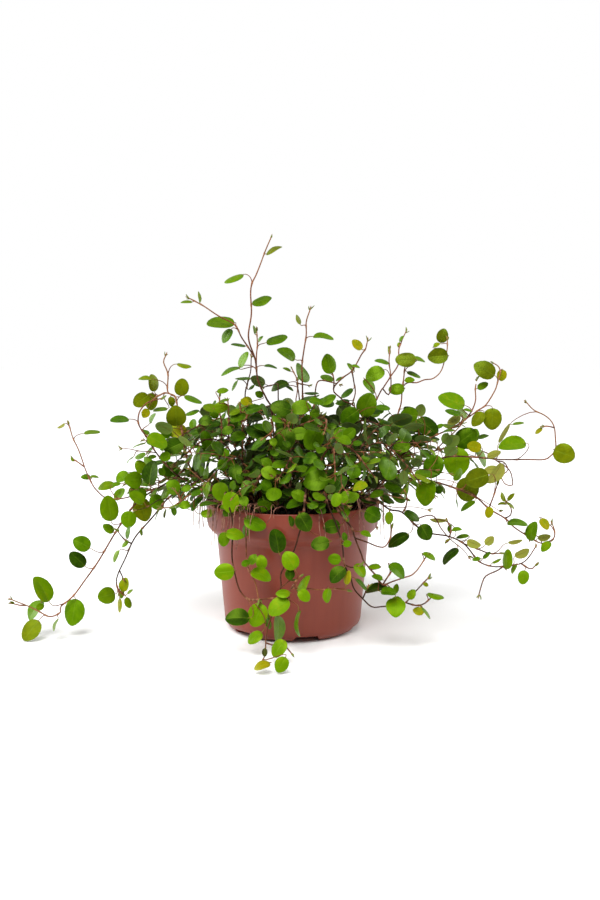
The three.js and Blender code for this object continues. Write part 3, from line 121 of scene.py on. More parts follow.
# Shoots read on the front view. A route or fork point is (right, up, depth behind the axis).
# A leaf is (right, up, heading of its tip in degrees, length seen, breadth seen), and its tone if it has one.
# fore is how far a shoot's leaves stand in front of its stem.
SHOOTS = [
    dict(
        name="tall_shoot", foot=(-10, 8), thickness=1.9, fore=0,
        route=[
            (-14, 146, 6), (-18, 159, 3), (-24, 173, 1), (-26, 187, -2), (-30, 202, -5), (-28, 219, -8),
            (-28, 235, -10), (-25, 243, -11), (-20, 254, -13), (-15, 267, -16),
        ],
        forks=[
            [(-26, 187, -2), (-34, 200, -7), (-39, 209, -11),
             (-50, 215, -14), (-60, 222, -17), (-70, 227, -19)],
            [(-26, 177, 0), (-25, 189, 2), (-24, 196, 3), (-24, 205, 3)],
        ],
        leaves=[
            (-13, 260, 30, 12, 3, "olive"), (-40, 241, 200, 14, 4, "bright"), (-21, 226, 20, 14, 6),
            (-49, 211, 180, 19, 8), (-11, 200, 20, 15, 6), (-45, 202, 235, 11, 6), (-34, 186, 65, 12, 5),
            (-43, 179, 200, 14, 3), (-15, 181, -10, 9, 2), (-63, 228, 95, 8, 2), (-72, 225, 180, 8, 2),
            (-26, 206, 100, 6, 2), (-22, 200, 55, 5, 2), (-37, 196, 170, 10, 2),
        ],
    ),
    dict(
        name="dark_centre_shoot", foot=(-24, 16), thickness=1.5, fore=0,
        route=[(-32, 151, 14), (-31, 169, 21), (-29, 178, 25), (-28, 187, 29)],
        forks=[],
        leaves=[
            (-34, 173, 180, 11, 2), (-40, 168, 240, 8, 2), (-23, 162, 150, 6, 5), (-28, 167, 40, 5, 2),
            (-31, 158, 150, 7, 5, "yellow"),
        ],
    ),
    dict(
        name="centre_right_shoot", foot=(6, 0), thickness=1.6, fore=0,
        route=[
            (7, 147, 0), (7, 164, -4), (6, 179, -8), (8, 192, -11), (9, 202, -13), (9, 211, -16),
            (12, 219, -18),
        ],
        forks=[],
        leaves=[
            (4, 213, 110, 7, 3, "olive"), (21, 201, -5, 14, 4), (-4, 190, 145, 14, 7), (13, 163, 0, 10, 2),
        ],
    ),
    dict(
        name="pale_centre_shoot", foot=(0, 20), thickness=1.1, fore=0,
        route=[(2, 150, 18), (3, 162, 27), (3, 171, 34), (0, 179, 40)],
        forks=[],
        leaves=[(-4, 179, 155, 6, 2), (4, 174, 60, 6, 2), (-9, 168, 200, 13, 6), (-2, 166, -30, 6, 2)],
    ),
    dict(
        name="left_upright_shoot", foot=(-36, 2), thickness=1.7, fore=0,
        route=[
            (-67, 106, 0), (-74, 124, 3), (-77, 141, 6), (-79, 155, 9), (-81, 161, 11), (-86, 164, 14),
            (-85, 176, 17), (-88, 184, 19), (-87, 188, 20),
        ],
        forks=[[(-81, 161, 11), (-87, 163, 16), (-92, 161, 17), (-96, 158, 17)]],
        leaves=[
            (-74, 182, -10, 10, 3), (-95, 170, 95, 12, 7, "olive"), (-104, 158, 215, 12, 10, "olive"),
            (-97, 157, -95, 12, 9, "olive"), (-101, 173, 175, 9, 3), (-76, 167, 80, 12, 10, "olive"),
            (-83, 157, -80, 7, 5, "olive"), (-68, 159, -20, 13, 4), (-80, 147, 95, 14, 14, "olive"),
            (-80, 137, 185, 14, 10, "yellow"), (-101, 149, -120, 7, 6, "yellow"), (-91, 152, 185, 10, 3),
            (-69, 150, 20, 10, 3), (-87, 135, 220, 8, 7),
        ],
    ),
    dict(
        name="left_hooked_shoot", foot=(-30, -10), thickness=1.5, fore=4,
        route=[
            (-71, 101, -10), (-85, 111, -18), (-93, 120, -22), (-100, 132, -27), (-106, 141, -31),
            (-106, 148, -32), (-103, 153, -32), (-98, 157, -32), (-91, 159, -31),
        ],
        forks=[],
        leaves=[
            (-93, 130, -30, 15, 10, "bright"), (-82, 126, 205, 14, 11, "dark"),
            (-98, 108, 80, 17, 11, "dark"), (-105, 112, 120, 10, 8), (-88, 119, 200, 8, 7),
            (-97, 119, 10, 6, 3),
        ],
    ),
    dict(
        name="far_left_shoot", foot=(-44, 14), thickness=1.4, fore=-2,
        route=[
            (-67, 97, 12), (-85, 99, 19), (-104, 94, 26), (-117, 90, 30), (-129, 90, 33), (-136, 96, 35),
            (-140, 103, 35), (-144, 112, 36), (-148, 125, 38), (-151, 132, 40), (-154, 141, 42),
        ],
        forks=[[(-144, 112, 36), (-148, 115, 38), (-151, 117, 39)]],
        leaves=[
            (-159, 140, 215, 6, 2, "under"), (-138, 136, 5, 11, 3), (-152, 117, 130, 3, 2),
            (-143, 105, 170, 7, 4), (-137, 105, -5, 6, 2), (-129, 99, 190, 12, 6), (-122, 100, 10, 6, 3),
            (-120, 93, 55, 10, 6),
        ],
    ),
    dict(
        name="long_left_trailer", foot=(-48, -4), thickness=1.8, fore=2,
        route=[
            (-70, 110, -4), (-81, 104, -5), (-90, 99, -7), (-99, 94, -9), (-107, 88, -11), (-119, 73, -15),
            (-129, 56, -19), (-139, 41, -23), (-145, 32, -26), (-151, 24, -28), (-157, 18, -30),
            (-163, 13, -32), (-163, 9, -33), (-170, 6, -34), (-179, 10, -34), (-187, 14, -34),
            (-196, 18, -34),
        ],
        forks=[[(-187, 14, -34), (-191, 14, -35), (-195, 15, -36)]],
        leaves=[
            (-175, 26, 115, 20, 12, "bright"), (-154, 9, -100, 19, 14), (-184, -4, 230, 17, 12, "olive"),
            (-181, 11, 230, 16, 8), (-167, 0, 245, 9, 2), (-177, 13, 20, 6, 5), (-147, 58, 150, 13, 11),
            (-150, 47, 135, 14, 10, "dark"), (-127, 83, 95, 18, 13), (-128, 69, 140, 9, 6),
            (-114, 75, -95, 12, 11), (-104, 82, -70, 17, 13, "olive"), (-94, 87, -60, 12, 10),
            (-104, 93, -80, 9, 6), (-110, 103, 180, 12, 12), (-118, 105, 215, 10, 7),
        ],
    ),
    dict(
        name="left_forked_trailer", foot=(-38, -18), thickness=1.7, fore=3,
        route=[
            (-60, 104, -14), (-67, 101, -17), (-78, 96, -21), (-86, 90, -23), (-93, 82, -26),
            (-106, 67, -30), (-112, 58, -33), (-116, 50, -35), (-121, 39, -37), (-123, 31, -38),
            (-122, 24, -39),
        ],
        forks=[
            [(-112, 58, -33), (-116, 60, -34), (-119, 63, -35), (-121, 66, -36)],
            [(-121, 39, -37), (-119, 34, -40)],
        ],
        leaves=[
            (-130, 21, 190, 12, 12), (-118, 29, 80, 10, 7), (-122, 14, -95, 10, 3), (-115, 16, -70, 8, 5),
            (-114, 24, 40, 5, 2), (-120, 22, -100, 6, 4), (-115, 66, 80, 9, 3), (-117, 58, 225, 6, 3),
            (-123, 49, 245, 9, 3), (-105, 66, -85, 5, 2),
        ],
    ),
    dict(
        name="left_low_shoot", foot=(-34, -26), thickness=1.3, fore=3,
        route=[
            (-57, 96, -26), (-64, 96, -32), (-72, 92, -35), (-77, 88, -38), (-84, 84, -40), (-91, 83, -43),
        ],
        forks=[[(-77, 88, -38), (-79, 92, -38), (-81, 95, -38)]],
        leaves=[
            (-75, 85, 190, 8, 6), (-67, 94, 200, 8, 4), (-74, 97, 195, 7, 5), (-59, 80, 10, 10, 6, "bright"),
            (-84, 94, 165, 7, 3),
        ],
    ),
    dict(
        name="front_left_trailer", foot=(-30, -38), thickness=1.5, fore=5,
        route=[
            (-46, 94, -48), (-44, 85, -55), (-42, 73, -57), (-42, 57, -57), (-42, 44, -58), (-40, 33, -60),
            (-37, 25, -62), (-32, 19, -64), (-26, 18, -66), (-17, 19, -68), (-9, 19, -69), (-3, 19, -70),
            (-1, 26, -70), (9, 26, -70), (20, 25, -69), (29, 26, -67), (37, 25, -65),
        ],
        forks=[
            [(-32, 80, -54), (-33, 64, -57), (-31, 41, -62), (-27, 31, -65), (-24, 19, -67)],
            [(-1, 26, -70), (2, 31, -72), (5, 34, -72)],
        ],
        leaves=[
            (-48, 38, 185, 14, 12, "bright"), (-22, 36, -20, 15, 9, "bright"),
            (-22, 45, 100, 10, 8, "bright"), (-33, 44, 200, 6, 5), (-28, 47, 60, 8, 6),
            (-2, 46, 120, 14, 12, "bright"), (-39, 5, 180, 17, 12, "dark"), (-25, 7, 250, 17, 14, "bright"),
            (-10, 13, 215, 17, 12, "bright"), (-10, -3, -90, 19, 8), (3, 1, -95, 18, 3),
            (-7, 23, 180, 10, 6, "bright"), (-27, -9, 215, 12, 8, "bright"), (7, 27, 75, 18, 6, "bright"),
            (8, 21, -50, 10, 8, "bright"), (24, 21, -100, 10, 6, "bright"), (38, 34, 80, 10, 5, "yellow"),
            (-40, 65, -10, 13, 8, "bright"), (-48, 61, -95, 10, 8), (-26, 73, -20, 16, 10),
            (-33, 67, -95, 9, 5), (-43, 87, -95, 15, 12, "bright"), (-40, 84, -35, 10, 6, "bright"),
            (-17, 3, -75, 12, 5), (-33, 83, -60, 7, 6, "bright"),
        ],
    ),
    dict(
        name="front_ground_trailer", foot=(2, -42), thickness=1.7, fore=4,
        route=[
            (9, 97, -52), (8, 85, -61), (5, 67, -65), (1, 53, -66), (-8, 38, -68), (-8, 27, -69),
            (-12, 16, -71), (-17, 0, -73), (-19, -13, -78), (-20, -22, -92), (-22, -28, -104),
        ],
        forks=[
            [(-19, -13, -78), (-13, -15, -82), (-6, -15, -86), (-1, -20, -90)],
            [(-8, 27, -69), (-2, 32, -70)],
        ],
        leaves=[
            (8, 73, -60, 14, 12, "dark"), (-11, 60, 100, 17, 12, "dark"), (19, 58, 190, 13, 10, "dark"),
            (-10, -17, 235, 14, 10, "bright"), (-8, -29, 240, 12, 10), (-22, -29, 195, 12, 6),
            (-18, -36, -90, 11, 10, "bright"), (-1, 74, 100, 8, 4), (-2, 36, -90, 8, 7, "dark"),
            (-20, -20, -95, 6, 4, "withered"), (4, 92, 150, 11, 8), (1, 86, 195, 12, 6),
        ],
    ),
    dict(
        name="right_front_trailer", foot=(24, -38), thickness=1.7, fore=4,
        route=[
            (26, 93, -48), (31, 83, -56), (40, 70, -60), (43, 62, -60), (48, 51, -59), (50, 45, -58),
            (57, 36, -56), (63, 29, -54), (70, 31, -52), (78, 34, -50), (83, 36, -48), (88, 41, -46),
            (93, 48, -44),
        ],
        forks=[
            [(63, 29, -54), (66, 34, -55), (69, 39, -56)],
            [(43, 62, -60), (52, 59, -58), (59, 56, -54), (64, 56, -50), (68, 62, -46), (69, 68, -44)],
        ],
        leaves=[
            (72, 13, -90, 13, 14, "bright"), (58, 26, 190, 15, 6, "dark"), (67, 24, 0, 11, 6),
            (72, 26, 80, 7, 4), (73, 39, -40, 14, 8), (57, 42, 180, 8, 4, "bright"), (59, 34, 160, 8, 4),
            (95, 49, -25, 10, 4, "bright"), (51, 65, -20, 8, 4), (27, 70, 190, 12, 10, "dark"),
            (29, 78, -80, 8, 6), (56, 78, -25, 12, 12), (67, 76, -90, 9, 6), (37, 80, -110, 6, 5),
        ],
    ),
    dict(
        name="right_lower_trailer", foot=(14, -44), thickness=1.4, fore=4,
        route=[
            (20, 96, -54), (26, 82, -62), (31, 68, -65), (35, 56, -65), (36, 43, -65), (40, 34, -64),
            (43, 26, -63), (49, 19, -62), (55, 13, -61), (62, 13, -60), (71, 14, -59), (79, 16, -58),
            (84, 22, -57), (90, 29, -56), (94, 33, -55),
        ],
        forks=[
            [(49, 19, -62), (51, 24, -63), (52, 26, -63)],
            [(79, 16, -58), (86, 14, -57), (91, 15, -55), (96, 19, -54)],
            [(36, 43, -65), (41, 41, -64), (45, 42, -63)],
        ],
        leaves=[
            (38, 58, 10, 6, 5), (29, 47, 170, 9, 8), (31, 36, 225, 14, 10, "dark"),
            (47, 39, -50, 11, 7, "bright"), (48, 29, -45, 11, 3), (88, 10, 170, 8, 6, "yellow"),
            (94, 9, -50, 10, 2), (100, 21, -10, 12, 4, "bright"), (83, 22, 60, 8, 6),
            (93, 29, -30, 4, 3, "olive"), (73, 17, 10, 8, 7, "bright"), (36, 63, 100, 6, 4),
        ],
    ),
    dict(
        name="right_forked_trailer", foot=(38, -26), thickness=1.8, fore=3,
        route=[
            (41, 93, -34), (50, 90, -40), (60, 87, -42), (67, 82, -42), (76, 80, -41), (89, 68, -40),
            (97, 65, -40), (109, 63, -41), (119, 58, -40), (129, 46, -40), (139, 42, -41), (148, 42, -42),
            (159, 44, -43), (165, 49, -43), (169, 55, -43),
        ],
        forks=[
            [(147, 42, -42), (143, 39, -42), (135, 35, -42), (132, 29, -44), (130, 22, -44)],
            [(159, 44, -43), (166, 40, -45), (169, 42, -45)],
            [(119, 58, -40), (129, 54, -37), (137, 51, -34), (144, 51, -34)],
            [(109, 63, -41), (110, 68, -38), (108, 73, -36)],
            [(76, 80, -41), (78, 83, -44), (79, 89, -45), (78, 93, -45)],
        ],
        leaves=[
            (92, 66, -60, 12, 11, "dark"), (73, 61, 210, 17, 8, "dark"), (83, 78, -30, 12, 6, "dark"),
            (109, 50, 225, 15, 6, "dark"), (126, 58, -20, 10, 6, "under"), (118, 63, 190, 9, 3),
            (137, 60, 45, 8, 6, "under"), (149, 47, 90, 14, 7), (161, 34, -100, 10, 8),
            (160, 51, 25, 11, 6, "under"), (155, 59, 10, 10, 3, "under"), (135, 50, 45, 7, 3),
            (128, 47, 190, 6, 3), (142, 46, 30, 7, 2), (154, 40, 240, 7, 3), (101, 74, 180, 12, 3, "under"),
            (114, 68, 10, 7, 3), (109, 69, 80, 6, 3),
        ],
    ),
    dict(
        name="right_trailer", foot=(46, -14), thickness=1.7, fore=3,
        route=[
            (69, 107, -18), (81, 104, -21), (95, 102, -23), (110, 98, -25), (126, 91, -26), (136, 83, -27),
            (147, 76, -27), (153, 70, -27), (161, 65, -27), (173, 58, -28), (170, 63, -25), (165, 65, -23),
        ],
        forks=[
            [(147, 76, -27), (151, 78, -28), (151, 83, -27), (147, 89, -27)],
            [(173, 58, -28), (179, 60, -29), (182, 63, -30), (182, 68, -30), (181, 71, -30)],
            [(136, 83, -27), (139, 91, -25), (141, 99, -23)],
        ],
        leaves=[
            (166, 67, 80, 14, 8), (156, 73, 0, 14, 5), (175, 72, -50, 9, 6, "yellow"),
            (175, 62, 10, 9, 5, "under"), (176, 56, 225, 9, 6, "bright"), (136, 80, -100, 8, 6, "yellow"),
            (151, 91, 50, 7, 3, "olive"), (145, 86, 180, 6, 2, "olive"), (151, 85, -35, 7, 2, "olive"),
            (146, 91, 110, 7, 3, "olive"), (121, 85, 215, 12, 4), (121, 96, -100, 17, 16, "bronze"),
            (127, 104, 200, 17, 14, "bronze"), (140, 107, 235, 17, 8, "under"),
            (137, 110, 190, 10, 6, "under"), (92, 94, -100, 19, 14, "bright"), (101, 96, 20, 6, 6, "dark"),
            (70, 98, -20, 14, 6),
        ],
    ),
    dict(
        name="far_right_shoot", foot=(46, 2), thickness=1.6, fore=2,
        route=[
            (80, 110, 3), (95, 115, 7), (108, 119, 10), (121, 119, 12), (133, 118, 14), (145, 117, 16),
            (164, 117, 18), (173, 117, 20), (177, 119, 21), (181, 124, 21), (181, 132, 21), (180, 139, 20),
            (177, 144, 20), (172, 148, 18), (166, 151, 17), (161, 156, 16),
        ],
        forks=[[(180, 139, 20), (176, 140, 20), (173, 140, 20)]],
        leaves=[
            (187, 121, -20, 15, 14, "olive"), (169, 137, 220, 6, 3, "yellow"),
            (151, 128, 185, 19, 10, "bright"), (146, 135, 60, 15, 3, "under"), (155, 142, 10, 8, 2),
            (113, 115, -90, 21, 18, "bright"), (97, 112, -110, 17, 14), (130, 119, -60, 15, 5),
            (139, 120, 20, 10, 5, "under"), (125, 126, 170, 10, 8, "yellow"),
        ],
    ),
    dict(
        name="right_loop_shoot", foot=(40, 6), thickness=1.3, fore=0,
        route=[
            (82, 115, 10), (101, 124, 22), (117, 125, 30), (133, 122, 37), (141, 116, 40), (149, 110, 43),
            (152, 103, 44), (152, 99, 43), (147, 100, 40), (144, 104, 38),
        ],
        forks=[[(141, 116, 40), (146, 115, 45), (149, 110, 47), (146, 107, 47)]],
        leaves=[
            (119, 132, 40, 17, 14), (86, 130, 200, 12, 10, "dark"), (75, 126, 190, 12, 9),
            (106, 133, 20, 6, 2), (131, 133, 15, 8, 3),
        ],
    ),
    dict(
        name="right_upper_shoot", foot=(42, 16), thickness=1.6, fore=1,
        route=[
            (82, 126, 16), (94, 132, 20), (101, 135, 21), (108, 138, 23), (115, 142, 25), (120, 146, 27),
            (127, 151, 29), (133, 155, 30), (138, 164, 32), (140, 171, 33), (142, 177, 35), (141, 181, 35),
            (138, 183, 35),
        ],
        forks=[
            [(120, 146, 27), (123, 151, 30), (125, 158, 33), (125, 165, 34), (126, 171, 36)],
            [(88, 115, 22), (101, 126, 24), (110, 135, 25), (116, 142, 26)],
        ],
        leaves=[
            (131, 179, 150, 16, 12, "bronze"), (143, 175, -95, 8, 7, "yellow"),
            (137, 145, -90, 15, 13, "olive"), (109, 158, 160, 19, 11, "bright"),
            (127, 145, 230, 12, 8, "olive"), (130, 168, 30, 8, 5), (110, 150, 165, 11, 4),
            (111, 144, 215, 10, 6, "under"), (120, 151, -10, 6, 2), (101, 140, 30, 6, 3),
            (107, 137, 185, 8, 2), (93, 140, -35, 17, 12, "dark"), (80, 148, 175, 12, 10),
        ],
    ),
    dict(
        name="right_arching_shoot", foot=(34, 22), thickness=1.5, fore=0,
        route=[
            (77, 136, 24), (72, 144, 29), (74, 155, 34), (75, 166, 39), (79, 170, 40), (85, 170, 41),
            (90, 172, 43), (96, 173, 43), (102, 179, 47), (105, 191, 52), (105, 199, 55),
        ],
        forks=[[(75, 166, 39), (76, 175, 42), (77, 181, 45)]],
        leaves=[
            (99, 188, 185, 14, 11, "bronze"), (102, 202, 75, 10, 8, "bronze"),
            (77, 186, 180, 14, 10, "bronze"), (85, 186, -5, 11, 3), (80, 172, 5, 7, 4),
            (83, 176, -20, 10, 3), (71, 166, 185, 11, 8), (98, 196, 30, 5, 3),
        ],
    ),
    dict(
        name="right_back_shoot", foot=(26, 26), thickness=1.4, fore=0,
        route=[
            (57, 157, 20), (62, 167, 28), (67, 174, 33), (72, 182, 39), (72, 192, 45), (74, 197, 49),
            (77, 204, 54),
        ],
        forks=[[(66, 162, 29), (67, 175, 36), (66, 185, 43), (66, 193, 48)]],
        leaves=[
            (61, 185, 165, 10, 3), (56, 176, 205, 14, 10), (53, 168, -50, 12, 6), (66, 192, 95, 6, 2),
            (74, 200, 60, 5, 2), (72, 196, 80, 3, 2),
        ],
    ),
    dict(
        name="right_centre_shoot", foot=(18, 14), thickness=1.5, fore=0,
        route=[
            (43, 146, 10), (34, 158, 8), (28, 165, 7), (34, 173, 7), (40, 178, 6), (47, 189, 3),
            (50, 193, 1), (51, 198, 0),
        ],
        forks=[
            [(41, 178, 6), (42, 171, 9), (43, 164, 12), (41, 157, 14)],
            [(28, 165, 7), (28, 172, 5), (27, 177, 3)],
        ],
        leaves=[
            (44, 196, 135, 9, 6, "yellow"), (40, 181, 130, 7, 3), (25, 183, 100, 14, 10),
            (32, 173, 200, 6, 2), (37, 163, 215, 10, 4), (43, 181, -10, 6, 2), (39, 147, 215, 14, 12),
            (51, 155, 70, 17, 14), (62, 153, -5, 10, 4), (34, 157, 190, 10, 4),
        ],
    ),
    dict(
        name="crown_left_shoot", foot=(-28, 8), thickness=1.4, fore=2,
        route=[(-49, 110, 4), (-49, 127, -2), (-49, 141, -7), (-50, 151, -11), (-50, 160, -13)],
        forks=[[(-45, 137, -7), (-44, 148, -13), (-44, 157, -16)]],
        leaves=[
            (-49, 153, 10, 10, 8), (-48, 165, 10, 8, 4), (-60, 144, 185, 10, 7, "dark"),
            (-53, 142, 10, 8, 4), (-47, 158, 20, 7, 2), (-55, 139, 190, 10, 3), (-38, 146, 20, 11, 6),
            (-41, 142, -60, 8, 6), (-45, 137, 200, 8, 6), (-60, 131, 100, 12, 8),
        ],
    ),
    dict(
        name="crown_mid_left_shoot", foot=(-18, 2), thickness=1.4, fore=3,
        route=[(-34, 112, 0), (-34, 127, -7), (-35, 141, -13), (-36, 154, -18)],
        forks=[[(-33, 144, -14), (-29, 150, -14), (-21, 151, -12)]],
        leaves=[
            (-33, 157, 150, 6, 5, "yellow"), (-29, 155, -20, 10, 3, "yellow"), (-27, 152, 20, 12, 6),
            (-40, 150, 200, 8, 4), (-25, 146, 170, 10, 4), (-38, 133, 190, 11, 7),
        ],
    ),
    dict(
        name="crown_mid_shoot", foot=(-2, -10), thickness=1.4, fore=4,
        route=[(-3, 117, -12), (-2, 131, -17), (0, 144, -22), (-2, 153, -24)],
        forks=[[(-1, 137, -20), (8, 142, -23), (19, 146, -25)]],
        leaves=[
            (-8, 153, 165, 15, 11, "dark"), (6, 153, 10, 14, 10), (16, 157, -10, 10, 5),
            (24, 159, 30, 12, 6), (15, 149, 190, 7, 6), (21, 141, -70, 10, 7), (-5, 148, -60, 9, 6),
            (4, 135, 185, 12, 9),
        ],
    ),
]

# Shoots of the crown and the back, grown by rule.
# Each is (direction round the pot, distance of its foot from the axis, reach, rise, fall from its top).
CROWN_SHOOTS = [
    (-100, 30, 26, 40, 14), (-76, 32, 24, 26, 6), (-58, 34, 30, 42, 18), (-124, 34, 28, 34, 12),
    (-42, 30, 44, 44, 20), (-142, 30, 42, 40, 16), (-88, 14, 26, 62, 6), (-112, 22, 24, 55, 6),
    (-66, 22, 26, 66, 8), (-20, 32, 58, 50, 24), (0, 24, 50, 64, 12), (20, 34, 62, 56, 20),
    (-164, 30, 52, 48, 18), (176, 28, 58, 58, 14), (154, 32, 66, 50, 18), (42, 30, 58, 60, 26),
    (64, 34, 52, 50, 28), (84, 28, 54, 62, 26), (106, 36, 56, 52, 30), (130, 32, 60, 58, 26),
    (72, 10, 22, 78, 2), (122, 12, 28, 84, 3), (-172, 8, 16, 74, 2), (30, 14, 26, 80, 3),
    (76, 42, 52, 32, 76), (112, 44, 48, 30, 66), (48, 42, 60, 30, 58),
]
CROWN_THICKNESS = 1.5
CROWN_STEPS = 6
CROWN_TOP_AT = 0.6
CROWN_OUTREACH_POWER = 1.3
CROWN_DROP_POWER = 1.5
CROWN_SWAY = 5
CROWN_LIFT = (0.9, 1.1)
CROWN_DIRECTION_SPREAD = 16
CROWN_FOOT_SPREAD = 50
CROWN_SHOOT_TRIES = 40
FOOT_SPACING = 4
ROUTE_SAMPLES = (0.25, 0.5, 0.75, 1)

# Leaves of the crown: sizes in millimetres, droop and tilt as slopes, turns round the stem in degrees
CROWN_LEAF_SPACING = 21
CROWN_LEAF_LENGTHS = (9, 17)
CROWN_LEAF_SPREADS = {
    "roundness": (0.8, 0.96), "petiole": (3, 7), "droop": (0.5, -0.4), "tilt_x": (-0.4, 0.4),
    "tilt_y": (-0.4, 0.4),
}
CROWN_LEAF_LEAN = 0.2
CROWN_LEAF_OUT = 0.5
CROWN_LIGHT_UP = 0.75
CROWN_LIGHT_OUT = 0.6
CROWN_TURNS = (0, 50, -50, 100, -100, 150, -150)
LEAF_SPIRAL = 137.5
UPRIGHT = 0.999


class Chance:
    """Repeatable chance: each call gives a number between 0 and 1."""

    def __init__(self, seed):
        self.state = seed

    def __call__(self):
        self.state = (self.state * 16807) % 2147483647
        return self.state / 2147483647

    def between(self, limits):
        return limits[0] + (limits[1] - limits[0]) * self()

    def each(self, spreads):
        """A number between each pair of limits, by name."""
        return {name: self.between(limits) for name, limits in spreads.items()}


growth = Chance(4711)


# Points and directions, as plain tuples


def add(a, b):
    return (a[0] + b[0], a[1] + b[1], a[2] + b[2])


def sub(a, b):
    return (a[0] - b[0], a[1] - b[1], a[2] - b[2])


def mul(a, k):
    return (a[0] * k, a[1] * k, a[2] * k)


def along(a, direction, k):
    return (a[0] + direction[0] * k, a[1] + direction[1] * k, a[2] + direction[2] * k)


def dot(a, b):
    return a[0] * b[0] + a[1] * b[1] + a[2] * b[2]


def cross(a, b):
    return (a[1] * b[2] - a[2] * b[1], a[2] * b[0] - a[0] * b[2], a[0] * b[1] - a[1] * b[0])


def size(a):
    return math.sqrt(dot(a, a))


def apart(a, b):
    return size(sub(a, b))


def unit(a):
    long = size(a)
    return mul(a, 1 / long) if long > 0 else a


def mix(a, b, t):
    return (a[0] + (b[0] - a[0]) * t, a[1] + (b[1] - a[1]) * t, a[2] + (b[2] - a[2]) * t)


def clamp(t):
    return min(1, max(0, t))


def turn_about(v, axis, angle):
    """v turned about a unit axis."""
    c, s = math.cos(angle), math.sin(angle)
    return add(add(mul(v, c), mul(cross(axis, v), s)), mul(axis, dot(axis, v) * (1 - c)))


def turn_towards(axis, other, angle):
    """An axis turned by an angle towards another that is square to it."""
    return add(mul(axis, math.cos(angle)), mul(other, math.sin(angle)))


# The front view


def seen(right, up, depth):
    scale = (depth - EYE[1]) / -EYE[1]
    return (EYE[0] + (right - EYE[0]) * scale, depth, EYE[2] + (up - EYE[2]) * scale)


def on_view(point):
    """The reverse: where a point shows on the front view."""
    scale = -EYE[1] / (point[1] - EYE[1])
    return (EYE[0] + (point[0] - EYE[0]) * scale, EYE[2] + (point[2] - EYE[2]) * scale)


def depth_beside(right, up, rods):
    """The depth of the stem where it passes nearest a place on the front view."""
    least, depth = math.inf, 0
    for rod in rods:
        start, end = on_view(rod["from"]), on_view(rod["to"])
        run = (end[0] - start[0], end[1] - start[1])
        share = clamp(((right - start[0]) * run[0] + (up - start[1]) * run[1]) / (run[0] ** 2 + run[1] ** 2))
        distance = math.hypot(start[0] + run[0] * share - right, start[1] + run[1] * share - up)
        if distance < least:
            least = distance
            depth = rod["from"][1] + (rod["to"][1] - rod["from"][1]) * share
    return depth


# Stems as runs of rods, straight between their points


def rod_of(start, end, radius, shoot, is_petiole=False):
    return {
        "from": start, "to": end, "middle": mix(start, end, 0.5), "half": apart(start, end) / 2,
        "radius": radius, "shoot": shoot, "is_petiole": is_petiole,
    }


def rods_of(points, radii, shoot):
    pairs = zip(points, points[1:], radii, radii[1:])
    return [rod_of(start, end, max(thick, thin), shoot) for start, end, thick, thin in pairs]


def walk(points, first, gap):
    """Places along a run, each with the run's direction there. gap gives the way from a place to the next."""
    travelled, following = 0, first
    for start, end in zip(points, points[1:]):
        run, length = unit(sub(end, start)), apart(start, end)
        while following < travelled + length:
            place = along(start, run, following - travelled)
            following += gap(place)
            yield place, run
        travelled += length


def is_upright(run):
    return abs(run[2]) > UPRIGHT


def taper(count, foot_radius, tip_radius):
    return [foot_radius + ((tip_radius - foot_radius) * i) / (count - 1) for i in range(count)]


def foot_points(x, y):
    return [(x, y, SOIL_HEIGHT - ROOTED_DEPTH), (x, y, SOIL_HEIGHT + COLLAR_OF_SHOOT)]


def nearest_on_rod(point, rod):
    run = sub(rod["to"], rod["from"])
    share = clamp(dot(sub(point, rod["from"]), run) / dot(run, run))
    return along(rod["from"], run, share)


def nearest_on_rods(point, rods):
    best = None
    for rod in rods:
        place = nearest_on_rod(point, rod)
        if best is None or apart(place, point) < apart(best, point):
            best = place
    return best


def rods_touch(a, b):
    gap = a["radius"] + b["radius"] + STEM_CLEARANCE
    if apart(a["middle"], b["middle"]) > a["half"] + b["half"] + gap:
        return False
    least = math.inf
    for i in range(ROD_SAMPLES + 1):
        on_b = nearest_on_rod(mix(a["from"], a["to"], i / ROD_SAMPLES), b)
        least = min(least, apart(nearest_on_rod(on_b, a), on_b))
    return least < gap


def within_blade(point, blade, margin):
    arm = sub(point, blade["middle"])
    forward = dot(arm, blade["midrib"]) / (blade["length"] / 2 + margin)
    sideways = dot(arm, blade["across"]) / (blade["breadth"] / 2 + margin)
    return forward * forward + sideways * sideways < 1


def line_cuts_blade(start, end, blade, margin, closeness):
    high = dot(sub(start, blade["middle"]), blade["face"])
    low = dot(sub(end, blade["middle"]), blade["face"])
    if abs(high) < closeness and within_blade(start, blade, margin):
        return True
    if abs(low) < closeness and within_blade(end, blade, margin):
        return True
    if high * low > 0 or high == low:
        return False
    return within_blade(mix(start, end, high / (high - low)), blade, margin)


def rod_cuts_blade(rod, blade):
    if apart(rod["middle"], blade["middle"]) > rod["half"] + blade["length"] / 2 + FAR_APART:
        return False
    margin = rod["radius"] + EDGE_CLEARANCE
    halves = ((rod["from"], rod["middle"]), (rod["middle"], rod["to"]))
    return any(line_cuts_blade(start, end, blade, margin, margin) for start, end in halves)


def blades_touch(a, b):
    if apart(a["middle"], b["middle"]) > (a["length"] + b["length"]) / 2 + FAR_APART:
        return False
    for one, other in ((a, b), (b, a)):
        edge = one["edge"]
        for i, point in enumerate(edge):
            if line_cuts_blade(point, edge[(i + 1) % len(edge)], other, EDGE_CLEARANCE, BLADE_CLEARANCE):
                return True
            if line_cuts_blade(point, one["middle"], other, EDGE_CLEARANCE, BLADE_CLEARANCE):
                return True
    return False


